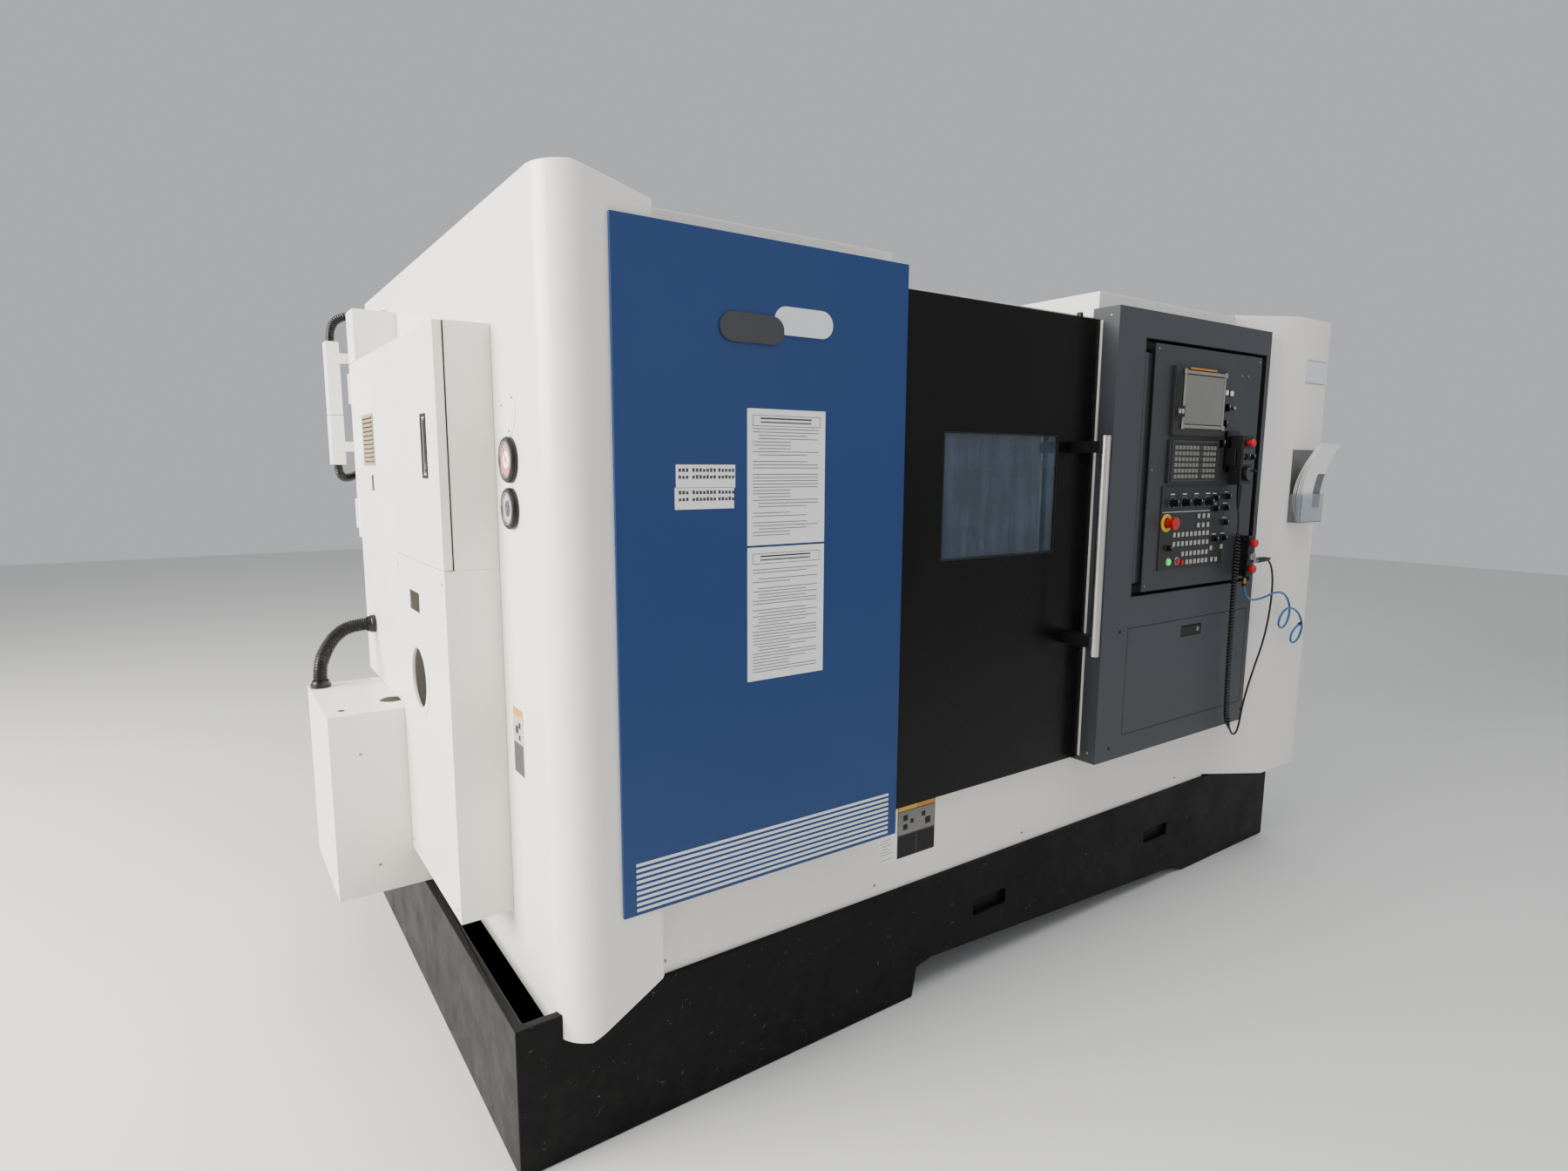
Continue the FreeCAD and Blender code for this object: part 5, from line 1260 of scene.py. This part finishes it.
class ControlStation(Assembly):
    """Grey housing with the service door, operator panel, pendant and air block."""

    body = "panel"
    face = -24.0
    keys_face = -28.0
    knob_z = 1382.0
    button_z = 1193.0
    stop_at = (1868, 1319)
    side_knobs = ((2177, 1691), (2168, 1638), (2162, 1573))
    small_knobs = ((1883, 1238), (2216, 1310), (2158, 1256), (2212, 1257), (2144, 1393),
                   (2220, 1397), (2149, 1358), (2214, 1359))
    key_rows = ((1915, 2112, 1279, 9), (1916, 2113, 1249, 9), (1970, 2113, 1215, 7),
                (1998, 2114, 1187, 6), (2053, 2111, 1336, 3), (2053, 2111, 1306, 3))
    odd_keys = ((2149, 1187), (2176, 1186), (2140, 1226), (2206, 1228))

    def build(self) -> None:
        """Dress the station from the housing outwards."""
        self.housing()
        self.display()
        self.keypad()
        self.switches()
        self.stop_and_start()
        self.pendant()
        self.air_block()

    def housing(self) -> None:
        """Housing, service door with flush latch, white edge strip and screws, with painted shade
        in the recess, the latch pocket, the lock's key slot and the door's seam.
        """
        self.sheets.dress("control_housing", Skin.GREY)
        self.sheets.dress("access_door", Skin.GREY)
        self.sheets.soften("access_door_latch", Skin.BLACK_PLASTIC, 1.0)
        self.sheets.soften("operator_panel", Skin.PLATE, 0.7)
        # A thin black lining round the recess walls: painted shade in the gap round the operator
        # panel.
        Piece("recess_lining").frame((1719, 1091), (2440, 1881), 1.2, Axis.Y, -15.4, 34,
                                     Skin.SHADOW).made()
        # Black walls and floor in the latch pocket: painted shade in the recess.
        pocket = Piece("latch_pocket")
        pocket.frame((2017, 930), (2141, 968), 1.5, Axis.Y, -15.6, -6, Skin.SHADOW)
        pocket.block((2017, -4.6, 930), (2141, -4.05, 968), Skin.SHADOW)
        pocket.made()
        barrel = Piece("latch_lock", "access_latch")
        barrel.turned([(-16.6, 0.0), (-16.6, 7.0), (-15.0, 8.0), (-14.2, 8.0), (-14.2, 0.0)],
                      Axis.Y, (2124, 948), Skin.SCREW, bevel=0.3)
        # A black bar in the lock face: painted shade in the key slot.
        barrel.block((2123, -16.8, 943), (2125, -16.5, 953), Skin.SHADOW)
        barrel.made()
        # A black frame round the service door: painted shade in the seam gap.
        Piece("hatch_seam").frame((1714.4, 644.4), (2438.6, 992.6), 2.0, Axis.Y, -16.25,
                                  -15.9, Skin.SHADOW).made()
        Piece("housing_edge_strip").block((1577.6, 39, 588), (1579.9, 46.4, 1925),
                                          Skin.WHITE, 0.4).made()
        Repeat("housing_side_screws", ROOT_BODY, Skin.SCREW,
               [(1580, 12, z) for z in (604, 1936)], Facing.LEFT).made(screw_head(4.5))
        Repeat("housing_dark_screw", ROOT_BODY, Skin.BLACK_PLASTIC, [(1580, 12, 985)],
               Facing.LEFT).made(screw_head(5))
        Repeat("housing_front_screw", ROOT_BODY, Skin.BLACK_PLASTIC,
               [(1673, -16, 985), (1650, -16, 612), (2452, -16, 612)]).made(screw_head(5))

    def display(self) -> None:
        """Screen in its pale frame, with card slot, switches and an amber strip."""
        self.sheets.soften("display_unit", Skin.MOULDING, 1.2)
        bezel = Piece("screen_bezel", self.body)
        bezel.frame((1898, 1618), (2140, 1796), 10, Axis.Y, -41.5, -37.9, Skin.BEZEL, 1.0)
        for x in (1901, 2138):
            for z in (1622, 1792):
                bezel.block((x - 8, -43.5, z - 8), (x + 8, -41, z + 8), Skin.BEZEL, 1.5)
        bezel.block((1930, -42.2, 1800), (2080, -38.4, 1805), Skin.AMBER, 0.5)
        bezel.made()
        Piece("screen_glass", self.body).block(
            (1910, -39.6, 1631), (2129, -36.1, 1783), Skin.SCREEN, 0.5).made()
        side = Piece("screen_side_strip", self.body)
        side.block((1861, -40.5, 1640), (1889, -37.9, 1790), Skin.BLACK_PLASTIC, 1.0)
        side.block((1863, -43.5, 1652), (1907, -40.4, 1686), Skin.BLACK_PLASTIC, 1.5)
        for x in (1871, 1888):
            side.block((x, -44.5, 1662), (x + 12, -43.3, 1676), Skin.KEY, 0.6)
        side.made()
        aside = Piece("screen_switches", self.body)
        for x, z in ((2173, 1740), (2205, 1739)):
            aside.block((x - 11, self.face - 2, z - 11), (x + 11, self.face, z + 11),
                        Skin.BLACK_PLASTIC, 0.8)
            aside.block((x - 8, self.face - 6, z - 8), (x + 8, self.face - 2, z + 8),
                        Skin.PAPER, 1.2)
        for x, z in self.side_knobs:
            self.rotary(aside, x, z, self.face, 13)
        aside.turned([(-44, 0.0), (-44, 6), (-41, 7), (-24, 7), (-24, 0.0)], Axis.Y,
                     (2205, 1690), Skin.SCREW, bevel=0.5)
        aside.made()
        Repeat("panel_plate_screws", self.body, Skin.SCREW,
               [(x, self.face, z) for x in (1776, 2380) for z in (1122, 1486, 1852)]
               + [(2270, self.face, 1800), (2310, self.face, 1800)]).made(screw_head(3.2))

    def rotary(self, piece: Piece, x: float, z: float, face: float, radius: float) -> None:
        """A small selector switch with a bar grip."""
        piece.turned([(face - 4, 0.0), (face - 4, radius), (face, radius + 1), (face, 0.0)],
                     Axis.Y, (x, z), Skin.BLACK_PLASTIC, bevel=0.5, steps=28)
        piece.block((x - 3.4, face - 16, z - radius + 1), (x + 3.4, face - 4, z + radius - 1),
                    Skin.BLACK_PLASTIC, 1.6)
        piece.block((x - 0.6, face - 16.3, z + 1), (x + 0.6, face - 15.9, z + radius - 2),
                    Skin.STRIPE)

    def keypad(self) -> None:
        """Letter and number keys under the screen, all left blank."""
        self.sheets.soften("keypad_unit", Skin.MOULDING, 1.5)
        Piece("keypad_frame", self.body).frame(
            (1866, 1450), (2132, 1579), 6, Axis.Y, -36.5, -33.9, Skin.SLATE, 0.8).made()
        spots = [(1886 + 20.4 * column, -34.0, 1466 + 18.2 * row)
                 for row in range(6) for column in range(12) if column != 7]
        Repeat("keypad_keys", self.body, Skin.DULL_KEY, spots).made(key_cap(15.5, 12.5, 3.4))
        middle = [(1886 + 20.4 * 7, -34.0, 1466 + 18.2 * row) for row in range(6)]
        Repeat("keypad_dark_keys", self.body, Skin.SLATE,
               middle).made(key_cap(15.5, 12.5, 3.4))

    def switches(self) -> None:
        """Key rows, selector knobs and scale ticks of the machine control unit."""
        self.sheets.soften("machine_control_unit", Skin.MOULDING, 1.0)
        spots = []
        for first, last, z, count in self.key_rows:
            step = (last - first) / (count - 1)
            spots += [(first + step * i, self.keys_face, z) for i in range(count)]
        spots += [(x, self.keys_face, z) for x, z in self.odd_keys]
        Repeat("control_keys", self.body, Skin.KEY, spots).made(key_cap(12, 15, 4))
        red = [(1972.0, self.keys_face, 1187)]
        Repeat("control_red_key", self.body, Skin.RED, red).made(key_cap(12, 15, 4))
        knobs = Piece("small_selectors", self.body)
        for x, z in self.small_knobs:
            self.rotary(knobs, x, z, self.keys_face, 10)
        knobs.made()
        seams = Piece("control_legends", self.body)
        near, far = self.keys_face - 0.5, self.keys_face
        for x in (1895, 1964, 2033, 2102):
            for step in range(11):
                turn = math.radians(-135 + 27 * step)
                a = x + 19 * math.sin(turn)
                b = self.knob_z + 19 * math.cos(turn)
                seams.block((a - 0.8, near, b - 0.8), (a + 0.8, far, b + 0.8), Skin.STRIPE)
            seams.block((x - 12, near, 1408), (x + 12, far, 1411), Skin.STRIPE)
        seams.block((1843, near, 1352), (2120, far, 1353.5), Skin.STRIPE)
        for x, z in self.small_knobs[1:]:
            seams.block((x - 14, near, z + 15), (x + 10, far, z + 17), Skin.STRIPE)
        seams.made()
        for node, body, x in (("mode_knob", "mode_knob", 1895),
                              ("feed_override_knob", "feed_knob", 1964),
                              ("rapid_override_knob", "rapid_knob", 2033),
                              ("spindle_override_knob", "spindle_knob", 2102)):
            self.sheets.soften(node, Skin.BLACK_PLASTIC, 0.9)
            Piece(f"{node}_mark", body).block(
                (x - 0.7, -50.25, self.knob_z + 2), (x + 0.7, -49.9, self.knob_z + 10),
                Skin.STRIPE).made()

    def stop_and_start(self) -> None:
        """Mushroom stop on its yellow ring, green start and red hold buttons."""
        Piece("stop_ring", self.body).turned(
            [(-32, 17.5), (-32, 26), (-30.5, 28.5), (-28, 28.5), (-28, 17.5)], Axis.Y,
            self.stop_at, Skin.YELLOW, steps=40).made()
        head = Piece("stop_mushroom", "stop_button")
        head.turned([(-66, 0.0), (-65.8, 10), (-64.8, 16), (-62.6, 19.4), (-59, 20),
                     (-54, 19.6), (-51.5, 18), (-48, 16), (-36, 15.4), (-35, 11),
                     (-20, 10.8), (-20, 0.0)],
                    Axis.Y, self.stop_at, Skin.RED, steps=48)
        head.made("emergency_stop")
        for node, body, x, skin in (("cycle_start_button", "start_button", 1891, Skin.GREEN),
                                    ("feed_hold_button", "hold_button", 1942, Skin.RED)):
            lens = Piece(f"{node}_lens", body)
            lens.turned([(-36, 0.0), (-35.8, 5), (-35.2, 8.6), (-34, 9.8), (-20, 9.8),
                         (-20, 0.0)], Axis.Y, (x, self.button_z), skin)
            lens.made(node)
            Piece(f"{node}_rim", self.body).turned(
                [(-31.5, 10.7), (-31.5, 13), (-30, 14), (-28, 14), (-28, 10.7)],
                Axis.Y, (x, self.button_z), Skin.SCREW).made()

    def pendant(self) -> None:
        """Hand-wheel pendant in its holder."""
        self.sheets.soften("handheld_pendant", Skin.BLACK_PLASTIC, 3.0, 3)
        cradle = Piece("pendant_cradle", self.body)
        cradle.block((2188, -34, 1486), (2269, -24, 1616), Skin.BLACK_PLASTIC, 2.0)
        cradle.block((2186, -66, 1500), (2194.4, -34, 1560), Skin.BLACK_PLASTIC, 2.0)
        cradle.block((2262.6, -66, 1500), (2270, -34, 1560), Skin.BLACK_PLASTIC, 2.0)
        cradle.made()
        front = Piece("pendant_face", self.body)
        front.block((2200, -85.2, 1505), (2257, -83.8, 1558), Skin.SLATE, 0.5)
        for x in (2212, 2245):
            self.rotary(front, x, 1530, -85, 10)
        front.block((2250, -80, 1444), (2266, -60, 1500), Skin.BLACK_PLASTIC, 3.0)
        front.made()
        wheel = Piece("pendant_wheel", "dial")
        rim = []
        for step in range(48):
            turn = 2 * math.pi * step / 48
            reach = 24 if step % 2 else 23
            rim.append((2228.5 + reach * math.cos(turn), 1475 + reach * math.sin(turn)))
        wheel.prism(rim, Axis.Y, -95, -84.4, Skin.BLACK_PLASTIC, 0.5)
        wheel.turned([(-98, 0.0), (-98, 18), (-95, 20.5), (-95, 0.0)], Axis.Y,
                     (2228.5, 1475), Skin.SLATE, bevel=0.5)
        wheel.turned([(-110, 0.0), (-110, 4.4), (-98, 4), (-98, 0.0)], Axis.Y,
                     (2240, 1484), Skin.BLACK_PLASTIC, bevel=0.8, steps=20)
        wheel.made("pendant_dial")
        stop = Piece("pendant_stop_mushroom", "pendant_stop")
        stop.turned([(-106, 0.0), (-105.6, 8), (-103.5, 12), (-101, 13), (-97, 12.6),
                     (-96, 8), (-76, 7.6), (-76, 0.0)], Axis.Y, (2228.5, 1576), Skin.RED)
        stop.made("pendant_stop_button")

    def air_block(self) -> None:
        """Air block with two red taps, a steel joint and a brass outlet."""
        joint = (-60, 1172)
        self.sheets.soften("air_valve_block", Skin.BLACK_PLASTIC, 1.2)
        taps = Piece("air_taps", self.body)
        for z in (1236, 1146):
            taps.turned([(-86, 0.0), (-86, 12), (-83, 14), (-74, 14), (-72, 9), (-66, 8),
                         (-66, 0.0)], Axis.Y, (2334, z), Skin.RED, bevel=0.6, steps=24)
        taps.turned([(2352, 12), (2372, 12), (2376, 10), (2398, 10), (2398, 9.2),
                     (2352, 9.2)], Axis.X, joint, Skin.SCREW, bevel=0.5, steps=6)
        taps.turned([(2398, 10.6), (2436, 9.6), (2436, 9.2), (2398, 9.2)], Axis.X, joint,
                    Skin.BLACK_PLASTIC, steps=24)
        taps.block((2320, -78, 1178), (2350, -66, 1200), Skin.SCREW, 2.0)
        taps.block((2300, -60, 1244), (2318, -48, 1254), Skin.BLACK_PLASTIC, 1.5)
        taps.made()


class LeftEnd(Assembly):
    """Hydraulic cabinet, bar chute, terminal box, conduits and gauges."""

    side = -125.0
    lower_conduit = [(-200, 1425, 1472), (-200, 1452, 1472), (-228, 1468, 1460),
                     (-262, 1458, 1446), (-287, 1436, 1458), (-287, 1436, 1490)]
    upper_conduit = [(-287, 1436, 1860), (-287, 1436, 1900), (-262, 1436, 1936),
                     (-200, 1436, 1948), (-145, 1436, 1948)]
    box_conduit = [(-262, 1262, 1010), (-304, 1262, 1010), (-348, 1256, 988),
                   (-382, 1240, 946), (-402, 1212, 905), (-402, 1212, 865)]

    def build(self) -> None:
        """Dress the boxes on the left side and their fittings."""
        for node in ("side_cabinet", "bar_chute_box", "low_service_box"):
            self.sheets.soften(node, Skin.WHITE, 1.4)
        self.sheets.dress("cabinet_door", Skin.WHITE)
        self.cabinet_fittings()
        self.box_fittings()
        self.gauges()
        self.duct()

    def cabinet_fittings(self) -> None:
        """Door seal, louvres over a filter mat with painted shade between the slats, and the
        flush swing handle with painted shade in its pocket.
        """
        Piece("cabinet_seal", "cabinet_door").frame(
            (349.6, 1266.6), (1400.2, 1793.4), 6, Axis.X, -226.5, -223.4, Skin.SHADOW).made()
        Piece("vent_filter", "cabinet_door").block(
            (-245.8, 1062, 1492), (-245, 1222, 1628), Skin.FILTER).made()
        louvre = Piece("vent_frame", "cabinet_door")
        louvre.frame((1060, 1488), (1225, 1632), 7, Axis.X, -247.2, -245, Skin.FILTER, 0.7)
        for number in range(11):
            low = 1498 + number * 12
            # Black strips between the slats: painted shade in the louvre gaps.
            louvre.block((-246.3, 1069, low), (-245.7, 1216, low + 4), Skin.SHADOW)
            louvre.prism([(-246.0, low + 4), (-246.0, low + 9), (-250, low + 5),
                          (-250, low + 3.4)], Axis.Y, 1069, 1216, Skin.FILTER)
        louvre.made()
        Piece("vent_tag", "cabinet_door").block(
            (-246, 1100, 1418), (-245, 1128, 1462), Skin.SLATE, 0.3).made()
        self.sheets.soften("cabinet_door_latch", Skin.BLACK_PLASTIC, 1.0)
        pocket = Piece("swing_pocket", "cabinet_door")
        y = 470
        pocket.frame((y - 24, 1463), (y + 24, 1606), 7.5, Axis.X, -247.5, -244.9,
                     Skin.BLACK_PLASTIC, 0.8)
        # A black sheet at the pocket's floor: painted shade in the recess.
        pocket.block((-233.4, y - 15.8, 1473.2), (-233.05, y + 15.8, 1595.8), Skin.SHADOW)
        pocket.made()
        Piece("swing_button", "cabinet_latch").turned(
            [(-246, 0.0), (-245.6, 6), (-244, 7), (-244, 0.0)], Axis.X, (y, 1490),
            Skin.SCREW, steps=24).made()

    def box_fittings(self) -> None:
        """Bar hole ring, screws, hole rim and blank round cover."""
        Piece("bar_hole_ring").turned(
            [(-248.5, 75.5), (-249.5, 80), (-248.8, 88), (-246.8, 92.5), (-245, 92.5),
             (-245, 75.5)], Axis.X, (635, 972), Skin.WHITE, steps=56).made()
        Piece("blank_round_cover").turned(
            [(-126.6, 0.0), (-126.6, 49.4), (-126.1, 50), (-125, 50), (-125, 0.0)],
            Axis.X, (250, 1605), Skin.WHITE, steps=56).made()
        spots = []
        for turn in (20, 140, 260):
            angle = math.radians(turn)
            spots.append((-126.6, 250 + 41 * math.cos(angle), 1605 + 41 * math.sin(angle)))
        Repeat("round_cover_screws", ROOT_BODY, Skin.SLATE, spots,
               Facing.LEFT).made(screw_head(3.2, 1.4))
        Repeat("terminal_box_screws", ROOT_BODY, Skin.SCREW,
               [(-360, 850.3, 735), (-330, 850.3, 420)]).made(screw_head(4))
        Repeat("terminal_box_top_screw", ROOT_BODY, Skin.SLATE, [(-392, 905, 845)],
               Facing.UP).made(screw_head(9, 1.6))
        Repeat("chute_screws", ROOT_BODY, Skin.SCREW,
               [(-245, y, z) for y in (372, 826) for z in (480, 1235)],
               Facing.LEFT).made(screw_head(3.6))

    def gauges(self) -> None:
        """Dress two pressure gauges with bezel, face, ticks and needle."""
        self.sheets.dress("pressure_gauges", Skin.BLACK_PLASTIC)
        y, face = 244, self.side - 10
        for name, z, radius, skin, lean in (("upper", 1505, 45.0, Skin.GAUGE_RED, 40),
                                            ("lower", 1403, 41.0, Skin.GAUGE_GREY, -35)):
            dial = Piece(f"gauge_{name}")
            dial.turned([(face - 0.1, radius - 7), (face - 3, radius - 6), (face - 3, radius),
                         (face - 0.1, radius + 2.6), (face + 3, radius + 3.4),
                         (face + 3, radius - 7)], Axis.X, (y, z), Skin.BLACK_PLASTIC, steps=56)
            dial.turned([(face - 0.1, radius - 10), (face - 3.6, radius - 8.6),
                         (face - 3.2, radius - 6), (face - 0.1, radius - 6.6)],
                        Axis.X, (y, z), Skin.SCREW, steps=56)
            dial.rod(Axis.X, (y, z), face - 0.6, face - 0.02, radius - 9, skin, steps=48)
            dial.rod(Axis.X, (y, z), face - 0.8, face - 0.6, radius * 0.42,
                     Skin.PAPER if name == "upper" else Skin.SLATE, steps=40)
            for step in range(25):
                turn = math.radians(-135 + 270 * step / 24)
                a = y + (radius - 13) * math.sin(turn)
                b = z + (radius - 13) * math.cos(turn)
                dial.block((face - 0.9, a - 0.8, b - 0.8), (face - 0.6, a + 0.8, b + 0.8),
                           Skin.SLATE)
            turn = math.radians(lean)
            across = (math.cos(turn), -math.sin(turn))
            along = (math.sin(turn), math.cos(turn))
            tip, tail = radius - 15, -8
            needle = [(y + across[0] * w + along[0] * r, z + across[1] * w + along[1] * r)
                      for w, r in ((-1.8, tail), (1.8, tail), (0.6, tip), (-0.6, tip))]
            dial.prism(needle, Axis.X, face - 1.6, face - 1.0, Skin.INK)
            dial.turned([(face - 2, 0.0), (face - 2, 3), (face - 0.8, 3.4),
                         (face - 0.8, 0.0)], Axis.X, (y, z), Skin.SCREW, steps=20)
            dial.made()

    def duct(self) -> None:
        """White cable duct with its ribbed black conduits and gland nuts."""
        duct = Piece("cable_duct")
        duct.block((-306, 1405, 1490), (-268, 1465, 1640), Skin.WHITE, 2.5)
        duct.block((-305.4, 1405.6, 1641.5), (-268.6, 1464.4, 1860), Skin.WHITE, 2.5)
        for low in (1530, 1795):
            duct.block((-296, 1400.2, low), (-185, 1405, low + 30), Skin.WHITE, 0.8)
        duct.made("side_conduits")
        nuts = Piece("conduit_glands")
        for profile, axis, centre in (
                ([(1400.2, 13), (1400.2, 22), (1412, 22), (1414, 19), (1425, 17), (1425, 13)],
                 Axis.Y, (-200, 1472)),
                ([(-125.2, 13), (-125.2, 22), (-135, 22), (-137, 19), (-145, 17), (-145, 13)],
                 Axis.X, (1436, 1948)),
                ([(-238.2, 20), (-238.2, 28), (-250, 28), (-252, 25), (-262, 23), (-262, 20)],
                 Axis.X, (1262, 1010)),
                ([(845.2, 20), (845.2, 28), (855, 28), (857, 25), (865, 23), (865, 20)],
                 Axis.Z, (-402, 1212))):
            nuts.turned(profile, axis, centre, Skin.BLACK_PLASTIC, bevel=0.6, steps=12)
        nuts.made()
        for name, route, width in (("lower_conduit", self.lower_conduit, 26.0),
                                   ("upper_conduit", self.upper_conduit, 26.0),
                                   ("box_conduit", self.box_conduit, 40.0)):
            Ribbed(name, route, width).made()


@dataclass
class Ribbed:
    """A corrugated conduit: a geometry tree that swells a tube at every rib."""

    name: str
    route: list[Point]
    width: float
    pitch: float = 6.0
    depth: float = 0.12
    body: str = ROOT_BODY

    def tree(self) -> bpy.types.NodeTree:
        """Build the tree once: resample, swell every second pair, then sweep."""
        found = bpy.data.node_groups.get("ribbed_tube")
        if found:
            return found
        tree, given = start_group("ribbed_tube", "Tube", Route="Geometry", Radius="Float",
                                  Pitch="Float", Depth="Float", Finish="Material")
        quarter = maths(tree, "MULTIPLY", given["Pitch"], 0.25)
        line = add(tree, "GeometryNodeResampleCurve", {
            "Curve": given["Route"], "Length": quarter}, mode="LENGTH")
        index = add(tree, "GeometryNodeInputIndex").outputs["Index"]
        sunk = maths(tree, "LESS_THAN", maths(tree, "MODULO", index, 4.0), 1.5)
        shrink = maths(tree, "MULTIPLY", sunk, given["Depth"])
        thick = add(tree, "GeometryNodeSetCurveRadius", {
            "Curve": line.outputs["Curve"],
            "Radius": maths(tree, "SUBTRACT", 1.0, shrink)})
        ring = add(tree, "GeometryNodeCurvePrimitiveCircle", {
            "Resolution": 20, "Radius": given["Radius"]})
        scale = add(tree, "GeometryNodeInputRadius").outputs["Radius"]
        tube = add(tree, "GeometryNodeCurveToMesh", {
            "Curve": thick.outputs["Curve"], "Profile Curve": ring.outputs["Curve"],
            "Scale": scale, "Fill Caps": True})
        end_group(tree, tube.outputs["Mesh"], given["Finish"], "Tube")
        return tree

    def made(self) -> bpy.types.Object:
        """Run the tree over the smooth route and return the plain mesh."""
        line = centre_line(self.route)
        data = bpy.data.curves.new(self.name, "CURVE")
        data.dimensions = "3D"
        spline = data.splines.new("POLY")
        spline.points.add(len(line) - 1)
        for point, spot in zip(spline.points, line):
            point.co = (*spot, 1.0)
        path = linked(bpy.data.objects.new(f"{self.name}_path", data))
        run_group(path, self.tree(), {
            "Radius": self.width / 2 * MM, "Pitch": self.pitch * MM,
            "Depth": self.depth, "Finish": Skin.BLACK_PLASTIC.material})
        bpy.context.view_layer.update()
        seen = path.evaluated_get(bpy.context.evaluated_depsgraph_get())
        mesh = bpy.data.meshes.new_from_object(seen)
        bpy.data.objects.remove(path)
        return settle(bpy.data.objects.new(self.name, mesh), self.body, Skin.BLACK_PLASTIC)


# ------------------------------------------------------------------ light and camera


class Studio:
    """Pale floor, soft light from the upper left, and the camera."""

    eye = (-1.914, -2.4225, 1.5)
    yaw = 34.958658
    pitch = 8.048106
    roll = 0.297406
    lens = 19.783
    sensor = 36.0

    def build(self) -> None:
        """Set the floor, the lights and the camera."""
        self.floor()
        self.lights()
        self.camera()

    def floor(self) -> None:
        """A wide matt floor."""
        data = bpy.data.meshes.new("floor")
        reach = 14.0
        data.from_pydata([(-reach, -reach, -0.001), (reach, -reach, -0.001),
                          (reach, reach, -0.001), (-reach, reach, -0.001)], [], [(0, 1, 2, 3)])
        floor = linked(bpy.data.objects.new("floor", data))
        data.materials.append(Finish("floor_matt", "DCDCDA", "D8D8D6", 0.6, relief_mm=0,
                                     patch_mm=2000).make())

    def lamp(self, name: str, place: Point, aim: Point, size: tuple[float, float],
             watts: float, tint: str = "FFFFFF") -> None:
        """A rectangular soft light, in metres in the model's frame."""
        data = bpy.data.lights.new(name, "AREA")
        data.shape = "RECTANGLE"
        data.size, data.size_y = size
        data.energy = watts
        data.color = colour(tint)[:3]
        light = linked(bpy.data.objects.new(name, data))
        light.location = place
        light.rotation_euler = (Vector(aim) - Vector(place)).to_track_quat("-Z", "Y").to_euler()

    def lights(self) -> None:
        """Soft hall light: bright from the left, weaker from the front and above."""
        world = bpy.data.worlds.new("hall")
        world.use_nodes = True
        sky = world.node_tree.nodes["Background"]
        sky.inputs["Color"].default_value = colour("F4F6FA")
        sky.inputs["Strength"].default_value = 0.55
        bpy.context.scene.world = world
        self.lamp("left_key", (-6.4, 0.7, 3.0), (0.0, 0.2, 1.0), (4.0, 3.0), 1150, "FFFBF4")
        self.lamp("ceiling", (0.0, -1.5, 5.4), (0.0, 0.0, 0.0), (6.0, 4.0), 150)
        self.lamp("front_fill", (1.5, -6.5, 2.4), (0.6, 0.0, 1.0), (4.0, 2.5), 30, "F6F9FF")
        chamber = at(1180, 420, 1850)
        self.lamp("work_lamp", tuple(chamber), tuple(chamber - Vector((0, 0.1, 1))),
                  (0.5, 0.2), 14, "EAF2FF")

    def camera(self) -> None:
        """The camera at eye height, left of the machine's front."""
        yaw, pitch, roll = (math.radians(turn) for turn in (self.yaw, self.pitch, self.roll))
        ahead = Vector((math.sin(yaw) * math.cos(pitch), math.cos(yaw) * math.cos(pitch),
                        -math.sin(pitch)))
        right = Vector((math.cos(yaw), -math.sin(yaw), 0.0))
        up = right.cross(ahead)
        across = right * math.cos(roll) + up * math.sin(roll)
        above = up * math.cos(roll) - right * math.sin(roll)
        data = bpy.data.cameras.new("camera")
        data.lens = self.lens
        data.sensor_width = self.sensor
        data.sensor_fit = "HORIZONTAL"
        data.clip_start, data.clip_end = 0.05, 100.0
        camera = linked(bpy.data.objects.new("camera", data))
        turn = Matrix((across, above, -ahead)).transposed().to_4x4()
        camera.matrix_world = Matrix.Translation(Vector(self.eye)) @ turn
        bpy.context.scene.camera = camera


def main() -> None:
    """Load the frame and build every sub-assembly."""
    logging.basicConfig(level=logging.INFO, format="%(name)s: %(message)s")
    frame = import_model()
    sheets = Sheets(frame)
    Studio().build()
    PendantCord().build()
    AirHose().build()
    for part in (Enclosure, Base, SlidingDoor, ControlStation, LeftEnd):
        part(sheets).build()
        log.info("%s built", part.__name__)


if __name__ == "__main__":
    main()
